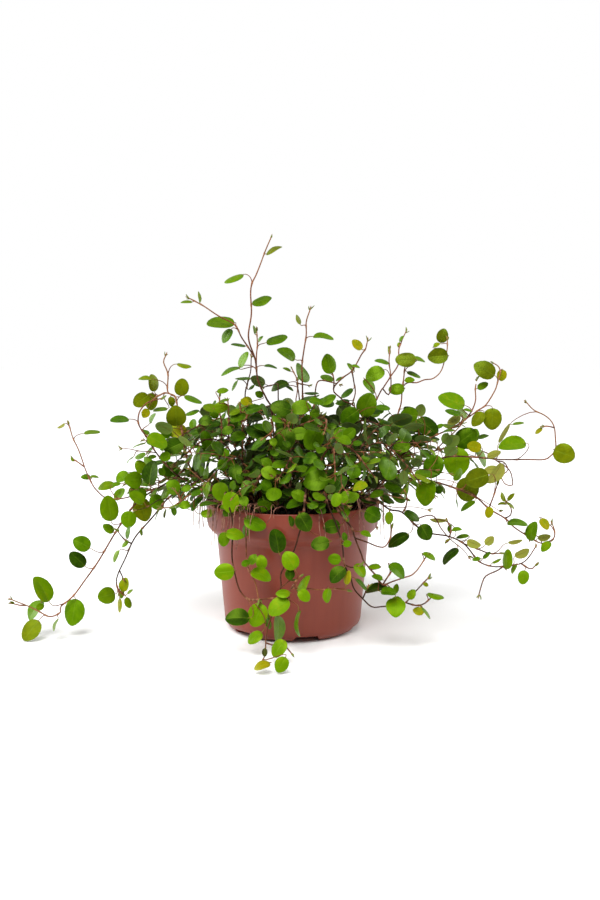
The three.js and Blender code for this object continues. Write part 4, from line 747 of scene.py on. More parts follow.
def is_free(point, clearance):
    """Off the surface that the pot stands on, the pot and the soil."""
    if point[2] < SURFACE_CLEARANCE:
        return False
    radius = math.hypot(point[0], point[1])
    pot_radius = RIM_RADIUS if point[2] > POT_HEIGHT - COLLAR_HEIGHT - COLLAR_SLOPE else BODY_TOP_RADIUS
    if point[2] > POT_HEIGHT + clearance or radius > pot_radius + clearance:
        return True
    return radius < RIM_RADIUS - WALL - clearance and point[2] > SOIL_HEIGHT + SOIL_CROWN + clearance


# Blades: where each leaf lies


def blade_of(middle, midrib, across, length, breadth, shoot):
    edge = []
    for i in range(EDGE_POINTS):
        turn = 2 * math.pi * i / EDGE_POINTS
        place = along(middle, midrib, math.cos(turn) * length / 2)
        edge.append(along(place, across, math.sin(turn) * breadth / 2))
    return {
        "middle": middle, "midrib": midrib, "across": across, "face": unit(cross(midrib, across)),
        "length": length, "breadth": breadth, "edge": edge,
        "base": along(middle, midrib, -length / 2), "tip": along(middle, midrib, length / 2), "shoot": shoot,
    }


def blade_from_view(leaf, depth, count, shoot):
    """A blade that shows the given length and breadth on the front view: it leans by what the view shortens."""
    right, up, heading, length_seen, breadth_seen = leaf[:5]
    middle = seen(right, up, depth)
    scale = (depth - EYE[1]) / -EYE[1]
    away = unit(sub(middle, EYE))
    sideways = unit(cross(away, UP))
    upwards = cross(sideways, away)
    pointing = turn_towards(sideways, upwards, math.radians(heading))
    level = turn_towards(sideways, upwards, math.radians(heading + 90))
    shortened = min(1, length_seen / (LONGEST_OVER_BROADEST * breadth_seen))
    length = (length_seen / shortened) * scale
    midrib = unit(turn_towards(pointing, away, math.acos(shortened) * (1 if count % 2 else -1)))
    breadth = max(breadth_seen * scale, BROADEST_OVER_LONGEST * length)
    roll = math.acos(min(1, breadth_seen * scale / breadth))
    square = unit(cross(midrib, level))
    ways = [turn_towards(level, square, roll), turn_towards(level, square, -roll)]
    skyward = []
    for way in ways:
        face = cross(midrib, way)
        skyward.append(-math.copysign(1, dot(face, away)) * face[2])
    across = ways[0] if skyward[0] >= skyward[1] else ways[1]
    if dot(cross(midrib, across), away) > 0:
        across = mul(across, -1)
    return blade_of(middle, midrib, across, length, breadth, shoot)


def petiole_of(blade, shoot):
    """A petiole from the nearest stem, a little inside the ends of its rods."""
    inner = [
        {"from": mix(rod["from"], rod["to"], RUN_END_SHARE), "to": mix(rod["to"], rod["from"], RUN_END_SHARE)}
        for rod in shoot["rods"]
    ]
    start = nearest_on_rods(blade["base"], inner)
    return rod_of(start, blade["base"], PETIOLE_RADIUS, shoot["name"], is_petiole=True)


def leaf_is_clear(blade, petiole):
    within = [mix(point, blade["middle"], 0.5) for point in blade["edge"]]
    spots = [*blade["edge"], *within, blade["middle"], petiole["middle"]]
    if not all(is_free(point, LEAF_TO_POT) for point in spots):
        return False
    reach = blade["length"] / 2 + 2 * petiole["half"] + FAR_APART
    for rod in placed_rods:
        if apart(rod["middle"], blade["middle"]) > rod["half"] + reach:
            continue
        if rod["shoot"] == blade["shoot"]:
            if not rod["is_petiole"] and line_cuts_blade(rod["from"], rod["to"], blade, 0, 0):
                return False
        elif rod_cuts_blade(rod, blade) or rods_touch(rod, petiole):
            return False
    for other in placed_blades:
        if apart(other["middle"], blade["middle"]) < other["length"] / 2 + reach:
            if blades_touch(other, blade) or rod_cuts_blade(petiole, other):
                return False
    return True


# Crown shoots


def crown_route(direction, foot_distance, reach, rise, fall):
    angle = math.radians(direction + CROWN_DIRECTION_SPREAD * (growth() - 0.5))
    foot_angle = math.radians(direction + CROWN_FOOT_SPREAD * (growth() - 0.5))
    x, y = foot_distance * math.cos(foot_angle), foot_distance * math.sin(foot_angle)
    points = foot_points(x, y)
    phase = 2 * math.pi * growth()
    lift = rise * growth.between(CROWN_LIFT)
    for i in range(1, CROWN_STEPS + 1):
        t = i / CROWN_STEPS
        out = reach * t**CROWN_OUTREACH_POWER
        sway = CROWN_SWAY * (math.sin(2 * math.pi * t + phase) - math.sin(phase)) * t
        climb = lift * math.sin(math.pi / 2 * min(1, t / CROWN_TOP_AT))
        drop = fall * max(0, (t - CROWN_TOP_AT) / (1 - CROWN_TOP_AT)) ** CROWN_DROP_POWER
        points.append((
            x + out * math.cos(angle) - sway * math.sin(angle),
            y + out * math.sin(angle) + sway * math.cos(angle),
            SOIL_HEIGHT + COLLAR_OF_SHOOT + climb - drop,
        ))
    return points, angle


def route_is_clear(points, shoot, feet):
    if any(math.hypot(x - points[0][0], y - points[0][1]) < FOOT_SPACING for x, y in feet):
        return False
    own = rods_of(points, taper(len(points), CROWN_THICKNESS / 2, TIP_RADIUS), shoot)
    for rod in own[1:]:
        if not all(is_free(mix(rod["from"], rod["to"], t), STEM_TO_POT) for t in ROUTE_SAMPLES):
            return False
    return not any(rods_touch(rod, other) for rod in own for other in placed_rods)


def crown_blade(place, run, angle, turn, form, shoot):
    """A leaf of a crown shoot: it faces up and outwards, and its tip droops away from the stem."""
    outwards = (math.cos(angle), math.sin(angle), 0)
    side = unit(along(cross(run, UP), outwards, CROWN_LEAF_LEAN))
    side = turn_about(side, run, math.radians(turn))
    base = along(place, side, form["petiole"])
    midrib = unit(along(along(side, outwards, CROWN_LEAF_OUT), UP, form["droop"]))
    light = along((form["tilt_x"], form["tilt_y"], CROWN_LIGHT_UP), outwards, CROWN_LIGHT_OUT)
    face = unit(along(light, midrib, -dot(light, midrib)))
    across = unit(cross(face, midrib))
    middle = along(base, midrib, form["length"] / 2)
    return blade_of(middle, midrib, across, form["length"], form["length"] * form["roundness"], shoot)


def turned_leaves(place, run, angle, turn, form, shoot):
    """The ways a leaf may stand round its stem, the best one first."""
    return [crown_blade(place, run, angle, turn + more, form, shoot["name"]) for more in CROWN_TURNS]


def crown_leaf_form(chance, lengths):
    return chance.each({"length": lengths, **CROWN_LEAF_SPREADS})


# The whole plant: first every stem, then the leaves one by one where nothing is in their way.
# The two lists hold all that is placed so far.

placed_rods, placed_blades = [], []


def add_run(shoot, points, foot_radius, tip_radius=TIP_RADIUS):
    """Gives a shoot one more run: its stem, a fork or a twig."""
    radii = taper(len(points), foot_radius, tip_radius)
    own = rods_of(points, radii, shoot["name"])
    shoot["runs"].append({"points": points, "radii": radii})
    shoot["rods"].extend(own)
    placed_rods.extend(own)


def new_shoot(name, points, thickness, entry=None, angle=None):
    shoot = {"name": name, "runs": [], "rods": [], "leaves": [], "entry": entry, "angle": angle}
    add_run(shoot, points, thickness / 2)
    return shoot


def grow_stems():
    from_view, by_rule = [], []
    for entry in SHOOTS:
        points = foot_points(*entry["foot"]) + [seen(*point) for point in entry["route"]]
        shoot = new_shoot(entry["name"], points, entry["thickness"], entry=entry)
        for fork in entry["forks"]:
            points = [seen(*point) for point in fork]
            joint = nearest_on_rods(points[0], shoot["rods"])
            points = [joint] + points[1 if apart(joint, points[0]) < FORK_JOINT else 0 :]
            add_run(shoot, points, FORK_RADIUS)
        from_view.append(shoot)
    feet = [entry["foot"] for entry in SHOOTS]
    for order, entry in enumerate(CROWN_SHOOTS):
        name = f"crown_shoot_{order + 1:02d}"
        for _ in range(CROWN_SHOOT_TRIES):
            points, angle = crown_route(*entry)
            if route_is_clear(points, name, feet):
                by_rule.append(new_shoot(name, points, CROWN_THICKNESS, angle=angle))
                feet.append(points[0][:2])
                break
    return from_view, by_rule


def put_leaf(blade, petiole, shoot, tone):
    placed_rods.append(petiole)
    placed_blades.append(blade)
    shoot["leaves"].append({"blade": blade, "tone": tone})


def place_leaf(choices, shoot, tone=""):
    """The first of the choices that is clear becomes a leaf."""
    for blade in choices:
        petiole = petiole_of(blade, shoot)
        if leaf_is_clear(blade, petiole):
            put_leaf(blade, petiole, shoot, tone)
            return True
    return False


def view_choices(shoot, leaf, count):
    stagger = LEAF_STAGGER if count % 2 else -LEAF_STAGGER
    depth = depth_beside(leaf[0], leaf[1], shoot["rods"]) - shoot["entry"]["fore"] + stagger
    return [blade_from_view(leaf, depth + shift, count, shoot["name"]) for shift in DEPTH_SHIFTS]


def leaves_of_view(shoot):
    """Places the larger leaves and returns the others, which have no solid of their own."""
    left_over = []
    for count, leaf in enumerate(shoot["entry"]["leaves"]):
        large = max(leaf[3], leaf[4]) >= SMALLEST_SOLID_LEAF
        tone = leaf[5] if len(leaf) > 5 else ""
        if not (large and place_leaf(view_choices(shoot, leaf, count), shoot, tone)):
            left_over.append((count, leaf, tone))
    return left_over


def leaves_of_crown(shoot):
    count = 0
    for place, run in walk(shoot["runs"][0]["points"], 0, lambda _: CROWN_LEAF_SPACING):
        if is_upright(run):
            continue
        form = crown_leaf_form(growth, CROWN_LEAF_LENGTHS)
        place_leaf(turned_leaves(place, run, shoot["angle"], LEAF_SPIRAL * count, form, shoot), shoot)
        count += 1


# What the solids leave out: small leaves, the leaves between the larger ones, and side twigs

extras = Chance(2207)

# Filling leaves: how close along a stem, how long, and between which heights and how far out
FILL_SPACING = 7
FILL_JITTER = 4
FILL_LENGTHS = (6, 12.5)
FILL_SWING = 40
FILL_LOWEST = 85
FILL_LOWEST_SEEN = 84
FILL_HIGHEST = 152
FILL_OUT = 112
RIGHT_SIDE_OUT = 132
RIGHT_SIDE_UP = 92
BEHIND_POT = 40
BACK_LOWEST = 20

# Where they stand closer and are larger: this far behind the axis, or right of it
BACK_HALF = 12
RIGHT_HALF = 55
BACK_SPACING = 0.68
BACK_LEAVES = 1.2

# How far a small leaf may pass the CAD box, and which leaves of the front view stay in sight
BEYOND_CAD = 3
READ_LEAF = 10
KEPT_IN_SIGHT = 8

# Side twigs
TWIG_EVERY = 26
TWIG_FIRST_SHARE = (0.4, 1)
TWIG_GAP_SHARE = (0.7, 1.3)
TWIG_BELOW_TOP = 20
TWIG_SWING = 40
TWIG_OUTWARDS = 0.8
TWIG_ALONG_STEM = 0.4
TWIG_UPWARDS = 0.5
TWIG_BEND = 0.6
TWIG_SAG = 0.62
TWIG_LENGTHS = (14, 34)
TWIG_STEP = 6
TWIG_RADIUS = 0.42
TWIG_TIP_RADIUS = 0.28
TWIG_LEAF_SPACING = 7
TWIG_LEAF_LENGTHS = (5.5, 12)

# Thin stems that the front view shows and no solid stands for. Each is (shoot, thickness, how far in front,
# course), and a course point is (right, up) on the front view.
SEEN_TWIGS = (
    ("right_forked_trailer", 1.3, 0, ((91, 83), (96, 78), (103, 69), (110, 61), (118, 54), (122, 49))),
    ("right_upper_shoot", 0.8, 6, ((69, 96), (82, 108), (92, 117), (103, 124))),
    ("right_upper_shoot", 0.7, 9, ((66, 101), (79, 105), (93, 110), (108, 107))),
    ("right_upper_shoot", 0.7, 3, ((72, 93), (88, 99), (101, 103), (112, 101), (118, 96))),
    ("right_upper_shoot", 0.8, 8, ((64, 107), (74, 118), (84, 126), (93, 135))),
    ("right_upper_shoot", 0.7, 11, ((70, 99), (86, 104), (97, 114), (101, 122), (99, 128))),
    ("right_arching_shoot", 0.7, 5, ((60, 95), (72, 103), (83, 104), (92, 99), (97, 92))),
    ("right_forked_trailer", 0.8, 3, ((97, 74), (106, 74), (112, 70), (113, 64), (109, 61))),
    ("long_left_trailer", 0.8, 4, ((-80, 86), (-72, 82), (-63, 87), (-58, 95))),
    ("left_forked_trailer", 0.7, 3, ((-86, 92), (-76, 91), (-68, 94), (-60, 100))),
)


# Where the larger leaves of the front view show, as (right, up, depth)
read_leaves = []


def seen_twigs(from_view):
    by_name = {shoot["name"]: shoot for shoot in from_view}
    for name, thickness, fore, course in SEEN_TWIGS:
        shoot = by_name[name]
        points = [seen(right, up, depth_beside(right, up, shoot["rods"]) - fore) for right, up in course]
        points[0] = nearest_on_rods(points[0], shoot["rods"])
        add_run(shoot, points, thickness / 2, TWIG_TIP_RADIUS)


def small_leaves(shoot, left_over):
    """Leaves without a solid. One that is nowhere clear of the others only has to be clear of the pot."""
    for count, leaf, tone in left_over:
        choices = [blade for blade in view_choices(shoot, leaf, count) if inside_cad_box(blade)]
        if place_leaf(choices, shoot, tone):
            continue
        for blade in choices:
            if all(is_free(point, LEAF_TO_POT) for point in blade["edge"]):
                put_leaf(blade, petiole_of(blade, shoot), shoot, tone)
                break


def in_crown(place):
    """Within the dense part of the plant, or on a stem that hangs down behind the pot."""
    right, up = on_view(place)
    if place[1] > BEHIND_POT and abs(right) < BODY_TOP_RADIUS and BACK_LOWEST < place[2] < FILL_LOWEST:
        return True
    out = RIGHT_SIDE_OUT if right > 0 and up > RIGHT_SIDE_UP else FILL_OUT
    in_height = FILL_LOWEST < place[2] < FILL_HIGHEST and up > FILL_LOWEST_SEEN
    return in_height and math.hypot(place[0], place[1]) < out


def fills_gap(place):
    """Behind the axis and on the right, where the leaves close the view between the stems."""
    return place[1] > BACK_HALF or (place[0] > RIGHT_HALF and place[1] > 0)


def inside_cad_box(blade):
    low, high = cad_box
    beyond = BEYOND_CAD * MM
    return all(low[k] - beyond < point[k] * MM < high[k] + beyond for point in blade["edge"] for k in range(3))


def hides_read_leaf(blade):
    """In front of a leaf that was read on the front view."""
    right, up = on_view(blade["middle"])
    return any(
        depth > blade["middle"][1] and math.hypot(right - leaf_right, up - leaf_up) < KEPT_IN_SIGHT
        for leaf_right, leaf_up, depth in read_leaves
    )


def fill_run(points, spacing, lengths, shoot):
    """Leaves along a run, wherever they are clear of all others."""

    def gap(place):
        return (spacing + FILL_JITTER * (extras() - 0.5)) * (BACK_SPACING if fills_gap(place) else 1)

    count = 0
    for place, run in walk(points, spacing * extras(), gap):
        if not in_crown(place) or is_upright(run):
            continue
        angle = shoot["angle"] if shoot["angle"] is not None else math.atan2(place[1], place[0])
        form = crown_leaf_form(extras, lengths)
        form["length"] *= BACK_LEAVES if fills_gap(place) else 1
        turn = LEAF_SPIRAL * count + FILL_SWING * extras()
        count += 1
        choices = turned_leaves(place, run, angle, turn, form, shoot)
        place_leaf([blade for blade in choices if inside_cad_box(blade) and not hides_read_leaf(blade)], shoot)


def twig_course(place, run):
    """A thin, crooked twig that leaves its stem outwards."""
    swing = 2 * math.pi * extras()
    outwards = unit((place[0] + TWIG_SWING * math.cos(swing), place[1] + TWIG_SWING * math.sin(swing), 0))
    direction = along(mul(run, TWIG_ALONG_STEM), outwards, TWIG_OUTWARDS)
    direction = unit(along(direction, UP, TWIG_UPWARDS * extras()))
    points = [place]
    for _ in range(round(extras.between(TWIG_LENGTHS) / TWIG_STEP)):
        bend = (extras() - 0.5, extras() - 0.5, extras() - TWIG_SAG)
        direction = unit(along(direction, bend, TWIG_BEND))
        points.append(along(points[-1], direction, TWIG_STEP))
    return points


def side_twigs(shoot):
    """Twigs along a shoot's stem, clear of every leaf and of the pot. Returns their courses."""
    made = []
    first = TWIG_EVERY * extras.between(TWIG_FIRST_SHARE)
    stem = shoot["runs"][0]["points"][1:]
    for place, run in walk(stem, first, lambda _: TWIG_EVERY * extras.between(TWIG_GAP_SHARE)):
        if not in_crown(place) or place[2] > FILL_HIGHEST - TWIG_BELOW_TOP:
            continue
        points = twig_course(place, run)
        own = rods_of(points, taper(len(points), TWIG_RADIUS, TWIG_TIP_RADIUS), shoot["name"])
        cut = any(rod_cuts_blade(rod, blade) for rod in own for blade in placed_blades)
        if not cut and all(is_free(point, STEM_TO_POT) for point in points):
            add_run(shoot, points, TWIG_RADIUS, TWIG_TIP_RADIUS)
            made.append(points)
    return made


def grow_plant():
    from_view, by_rule = grow_stems()
    left_over = [leaves_of_view(shoot) for shoot in from_view]
    for shoot in by_rule:
        leaves_of_crown(shoot)
    for shoot, leaves in zip(from_view, left_over):
        small_leaves(shoot, leaves)
        read = [item["blade"] for item in shoot["leaves"] if item["blade"]["length"] > READ_LEAF]
        read_leaves.extend((*on_view(blade["middle"]), blade["middle"][1]) for blade in read)
    seen_twigs(from_view)
    for shoot in from_view + by_rule:
        for twig in side_twigs(shoot):
            fill_run(twig, TWIG_LEAF_SPACING, TWIG_LEAF_LENGTHS, shoot)
    for shoot in by_rule + from_view:
        fill_run(shoot["runs"][0]["points"], FILL_SPACING, FILL_LENGTHS, shoot)
    return from_view + by_rule


# Meshes: a skin collects points, faces, the finish of each face, and two attributes that the finishes read.
# form says where on its leaf or stem a point lies. tone is a leaf's age with painted shade added towards the
# heart of the crown, its tint and number, or a stem's number.

BARK, LEAF_GREEN = 0, 1
TUBE_START = (0.3, 0.9, 0.2)


class Skin:
    def __init__(self):
        self.points, self.faces, self.finish, self.form, self.tone = [], [], [], [], []

    def point(self, place, form=(0, 0, 0), tone=(0, 0, 0)):
        self.points.append(mul(place, MM))
        self.form.append(form)
        self.tone.append(tone)
        return len(self.points) - 1

    def face(self, corners, finish=BARK):
        self.faces.append(corners)
        self.finish.append(finish)

    def tube(self, course, sides, seed):
        """A closed, pointed tube of bark. Its course is a list of (centre, radius, form)."""
        centres, radii, forms = zip(*course)
        tone = (seed, 0, 0)
        side = unit(cross(sub(centres[1], centres[0]), TUBE_START))
        rings = []
        for i, centre in enumerate(centres):
            run = unit(sub(centres[min(i + 1, len(centres) - 1)], centres[max(i - 1, 0)]))
            side = unit(along(side, run, -dot(side, run)))
            other = cross(run, side)
            ring = []
            for k in range(sides):
                turn = 2 * math.pi * k / sides
                place = along(along(centre, side, radii[i] * math.cos(turn)), other, radii[i] * math.sin(turn))
                ring.append(self.point(place, forms[i], tone))
            rings.append(ring)
        for low, high in zip(rings, rings[1:]):
            for k in range(sides):
                self.face((low[k], low[(k + 1) % sides], high[(k + 1) % sides], high[k]))
        self.face(tuple(reversed(rings[0])))
        run = unit(sub(centres[-1], centres[-2]))
        end = self.point(along(centres[-1], run, radii[-1]), forms[-1], tone)
        for k in range(sides):
            self.face((rings[-1][k], rings[-1][(k + 1) % sides], end))

    def build(self, name, materials, crease=None):
        mesh = bpy.data.meshes.new(name)
        mesh.from_pydata(self.points, [], self.faces)
        for label, values in (("form", self.form), ("tone", self.tone)):
            attribute = mesh.attributes.new(label, "FLOAT_VECTOR", "POINT")
            attribute.data.foreach_set("vector", [number for value in values for number in value])
        mesh.polygons.foreach_set("material_index", self.finish)
        mesh.polygons.foreach_set("use_smooth", [True] * len(self.faces))
        for material in materials:
            mesh.materials.append(material)
        if crease:
            mesh.set_sharp_from_angle(angle=math.radians(crease))
        mesh.update()
        piece = bpy.data.objects.new(name, mesh)
        bpy.context.scene.collection.objects.link(piece)
        return piece


# Stems

looks = Chance(90210)
STEM_SIDES = 8
STEM_SLIMNESS = 0.8
STEM_STEP = 2.2
LEAST_STEM_STEPS = 4
LEAST_RING_GAP = 0.3
CURVE_STEP = 0.7

# Each node of a stem is a swelling with rings at these shares of its length
NODE_SWELLING = 0.5
NODE_LENGTH = 1.0
NODE_RINGS = (-1.1, -0.5, 0, 0.5, 1.1)

# A stem wanders off its course by this much, fully from this far on, in waves of these lengths
WIGGLE = 0.35
WIGGLE_FULL_FROM = 12
WIGGLE_WAVES = (5, 4)

# How young the bark is: 1 is pinkish, 0 is the darkest
CROWN_STEM_AGE = 0.6
FORK_AGE = 0.5
STEM_AGE_AT_TIP = {
    "left_forked_trailer": 0.3, "right_forked_trailer": 0.55, "right_lower_trailer": 0.7,
    "dark_centre_shoot": 0.35, "front_ground_trailer": 0.7,
}

# The closed bud at the end of a run: its outline as (share of its length, share of its radius)
BUD_LENGTH = 3.6
BUD_RADIUS = 0.55
BUD_SIDES = 6
BUD_BEND = 0.12
BUD_OUTLINE = ((0, 0.55), (0.2, 0.95), (0.45, 1), (0.7, 0.62), (0.9, 0.25))

# Where petioles leave a stem: first steps of a stem and of a fork, and how far below the nearest place
FIRST_STEPS = (12, 2)
PETIOLE_START_BELOW = 0.35


def catmull(a, b, c, d, t):
    """A point between b and c on the smooth curve through a, b, c and d."""
    out = [0.0, 0.0, 0.0]
    for k in range(3):
        out[k] = 0.5 * (
            2 * b[k] + (c[k] - a[k]) * t + (2 * a[k] - 5 * b[k] + 4 * c[k] - d[k]) * t * t
            + (3 * b[k] - a[k] - 3 * c[k] + d[k]) * t**3
        )
    return tuple(out)


def smooth_run(points, radii):
    """The smooth curve through a run's points as a list of (place, radius), close together."""
    curve = []
    phases = [6 * looks() for _ in WIGGLE_WAVES]
    travelled = 0
    for i in range(len(points) - 1):
        before = points[i - 1] if i else mix(points[0], points[1], -1)
        after = points[i + 2] if i + 2 < len(points) else mix(points[i], points[i + 1], 2)
        length = apart(points[i], points[i + 1])
        steps = max(2, math.ceil(length / CURVE_STEP))
        for k in range(steps + (i == len(points) - 2)):
            t = k / steps
            place = catmull(before, points[i], points[i + 1], after, t)
            far = travelled + length * t
            fade = WIGGLE * min(1, far / WIGGLE_FULL_FROM)
            waves = [fade * math.sin(far / wave + phase) for wave, phase in zip(WIGGLE_WAVES, phases)]
            place = add(place, (*waves, 0))
            curve.append((place, STEM_SLIMNESS * (radii[i] + (radii[i + 1] - radii[i]) * t)))
        travelled += length
    return curve


def curve_lengths(curve):
    lengths = [0]
    for (a, _), (b, _) in zip(curve, curve[1:]):
        lengths.append(lengths[-1] + apart(a, b))
    return lengths


def attach(blade, curves):
    """The run and the step on it where a leaf's petiole leaves the stem, a little below the nearest place."""
    distance, which, step = min(
        (apart(curve[step][0], blade["base"]), which, step)
        for which, curve in enumerate(curves)
        for step in range(FIRST_STEPS[min(which, 1)], len(curve) - 1)
    )
    return which, max(2, step - round(PETIOLE_START_BELOW * distance / CURVE_STEP))


def add_stem(skin, curve, nodes, age_from, age_to, seed):
    """The bark of a run, with closer rings and a swelling at each node."""
    lengths = curve_lengths(curve)
    total = lengths[-1]
    steps = max(LEAST_STEM_STEPS, round(total / STEM_STEP))
    node_places = [lengths[step] for step in nodes]
    marks = [total * i / steps for i in range(steps + 1)]
    marks += [place + NODE_LENGTH * k for place in node_places for k in NODE_RINGS]
    marks = sorted({round(mark, 2) for mark in marks if 0 <= mark <= total})
    kept = [marks[0]]
    for mark in marks[1:]:
        if mark - kept[-1] > LEAST_RING_GAP:
            kept.append(mark)
    rings = []
    step = 0
    for mark in kept:
        while step + 2 < len(curve) and lengths[step + 1] < mark:
            step += 1
        share = clamp((mark - lengths[step]) / max(1e-6, lengths[step + 1] - lengths[step]))
        near = max([math.exp(-(((mark - place) / NODE_LENGTH) ** 2)) for place in node_places] or [0])
        centre = mix(curve[step][0], curve[step + 1][0], share)
        age = age_from + (age_to - age_from) * mark / total
        rings.append((centre, curve[step][1] * (1 + NODE_SWELLING * near), (age, near, 0)))
    skin.tube(rings, STEM_SIDES, seed)


def add_bud(skin, place, run, seed):
    bend = mul(unit(cross(run, (0.2, 0.5, 0.8))), BUD_BEND)
    rings = []
    for share, width in BUD_OUTLINE:
        centre = along(along(place, run, share * BUD_LENGTH), bend, BUD_LENGTH * share * share)
        rings.append((centre, BUD_RADIUS * width, (1, 0.6, 0)))
    skin.tube(rings, BUD_SIDES, seed)


# Leaves

# A blade's points as (rows, columns)
LARGE_GRID = (9, 8)
SMALL_GRID = (6, 6)
SMALL_LEAF = 8.5
LEAF_HALF_THICKNESS = 0.11
BEND_FROM = 0.45

PETIOLE_SIDES = 5
PETIOLE_STEPS = 6
PETIOLE_THICK = 0.36
PETIOLE_TAPER = 0.3
PETIOLE_BELOW = 0.12
MIDRIB_BELOW = 0.13
# The midrib under the blade as (share of the blade's length, share of the petiole's thickness)
MIDRIB = ((0.1, 0.55), (0.3, 0.42), (0.55, 0.3), (0.8, 0.16))

# Leaves are darker towards the heart of the crown, a painted shade for the shade that falls among them there,
# and lighter near a tip
CROWN_HEART = (0, 20, 105)
FULL_SHADE_WITHIN = 40
SHADE_FADES_OVER = 65
YOUNG_FROM = 0.72
# Age and tint of the leaves that stand out on the front view
LEAF_TONES = {
    "yellow": (0.06, 0.45), "olive": (0.38, 0.7), "dark": (0.93, 0.08), "bright": (0.27, 0.05),
    "bronze": (0.62, 0.8), "under": (0.05, 0.7), "withered": (1, 1),
}

# How leaves differ from each other: how drawn out the tip is, and the folds and bends of the blade
LEAF_SPREADS = {
    "point": (0.1, 0.32), "fold": (0.05, 0.25), "cup": (-0.65, 0.1), "bend": (-0.14, -0.5), "wave": (0, 0.02),
    "phase": (0, 6), "skew": (-0.06, 0.06),
}

# The pair of leaves at a tip: lengths, breadth over length, and (spread, share of its length) of each
TIP_LEAVES = (2.6, 5.5)
TIP_LEAF_WIDTHS = (0.28, 0.45)
TIP_PAIR = ((0.45, 1), (-0.7, 0.8))
TIP_LEAF_BEND = 0.15


def leaf_half_width(u, point):
    """Half the width of a blade of breadth 1 at a share u of its length; point is how drawn out its tip is."""
    round_leaf = math.sqrt(max(0, 4 * u * (1 - u)))
    base_heavy = 1 + 0.16 * (0.5 - u)
    tip = 1 - point * max(0, (u - 0.62) / 0.38) ** 1.5
    return 0.5 * round_leaf**0.88 * base_heavy * tip


def blade_spot(blade, form, u, v, side):
    """A place on a blade: u from base to tip, v across it from -1 to 1, side 1 above and -1 below."""
    length, breadth = blade["length"], blade["breadth"]
    y = v * leaf_half_width(u, form["point"]) * breadth
    rise = form["fold"] * abs(y) * (1 - 0.4 * u) + form["cup"] * y * y / breadth
    rise += form["bend"] * length * (u - BEND_FROM) ** 2
    rise += form["wave"] * length * math.sin(7 * u + form["phase"] + (1.5 if v > 0 else 0)) * v * v
    thick = LEAF_HALF_THICKNESS * (1.25 - 0.6 * v * v)
    spot = along(blade["base"], blade["midrib"], u * length)
    spot = along(spot, blade["across"], y + form["skew"] * length * u * (1 - u))
    return along(spot, form["upwards"], rise + side * thick)


def add_leaf(skin, blade, form):
    """Both sides of a blade, closed by its rim."""
    rows, columns = SMALL_GRID if blade["length"] < SMALL_LEAF else LARGE_GRID
    shares = [(1 - math.cos(math.pi * (i + 0.35) / (rows - 0.3))) / 2 for i in range(rows)]
    tone = (form["age"], form["tint"], form["seed"])

    def place(u, v, side):
        return skin.point(blade_spot(blade, form, u, v, side), (u, v, 0.5 + 0.5 * side), tone)

    def face(corners, kept=True):
        skin.face(corners if kept != form["under"] else tuple(reversed(corners)), LEAF_GREEN)

    rims = []
    sheets = []
    for side in (1, -1):
        grid = [[place(u, 2 * j / columns - 1, side) for j in range(columns + 1)] for u in shares]
        base, tip = place(0, 0, side), place(1, 0, side)
        sheets.append((side > 0, grid, base, tip))
        rims.append([base] + [row[-1] for row in grid] + [tip] + [row[0] for row in reversed(grid)])
    for above, grid, base, tip in sheets:
        for low, high in zip(grid, grid[1:]):
            for j in range(columns):
                face((low[j], high[j], high[j + 1], low[j + 1]), above)
        for j in range(columns):
            face((base, grid[0][j], grid[0][j + 1]), above)
            face((tip, grid[-1][j + 1], grid[-1][j]), above)
    top, low = rims
    for i in range(len(top)):
        j = (i + 1) % len(top)
        face((top[i], low[i], low[j], top[j]))


def add_petiole(skin, start, run, blade, form, seed):
    """A petiole from inside the stem to the blade, that goes on as the midrib under it."""
    base, forward, upwards = blade["base"], blade["midrib"], form["upwards"]
    distance = apart(start, base)
    first = along(along(start, run, 0.3 * distance), unit(sub(base, start)), 0.2 * distance)
    second = along(along(base, forward, -0.35 * distance), upwards, -0.05 * distance)
    rings = []
    for i in range(PETIOLE_STEPS + 1):
        t = i / PETIOLE_STEPS
        a, b, c = mix(start, first, t), mix(first, second, t), mix(second, base, t)
        place = mix(mix(a, b, t), mix(b, c, t), t)
        age = (0.8 + 0.14 * t, max(0, 1 - 3 * t), 1)
        rings.append((along(place, upwards, -PETIOLE_BELOW * t), PETIOLE_THICK * (1 - PETIOLE_TAPER * t), age))
    length = blade["length"]
    for u, thick in MIDRIB:
        spot = along(along(base, forward, u * length), blade["across"], form["skew"] * length * u * (1 - u))
        spot = along(spot, upwards, form["bend"] * length * (u - BEND_FROM) ** 2 - MIDRIB_BELOW)
        rings.append((spot, PETIOLE_THICK * thick, (0.97, 0, 1)))
    skin.tube(rings, PETIOLE_SIDES, seed)


def leaf_form(blade, tone, share):
    """How one leaf is bent and coloured. share is how far along its run it grows, from foot to tip."""
    young = max(0, share - YOUNG_FROM) / (1 - YOUNG_FROM) * (1 if blade["length"] < 12 else 0.55)
    # Painted shade: the nearer a leaf is to the heart of the crown, the darker its colour; this is added to its
    # age, which otherwise holds its real age, youth and a random spread
    crown_shade = 1 - clamp((apart(blade["middle"], CROWN_HEART) - FULL_SHADE_WITHIN) / SHADE_FADES_OVER)
    age = clamp(0.5 + 0.43 * crown_shade - 0.3 * young * (1 - crown_shade) + 0.4 * (looks() - 0.5))
    tint = 0.2 * looks() ** 2 + 0.4 * young * looks()
    age, tint = LEAF_TONES.get(tone, (age, tint))
    under = tone == "under"
    upwards = mul(blade["face"], -1 if under else 1)
    made = {"age": age, "tint": tint, "seed": looks(), "under": under, "upwards": upwards}
    return {**made, **looks.each(LEAF_SPREADS)}


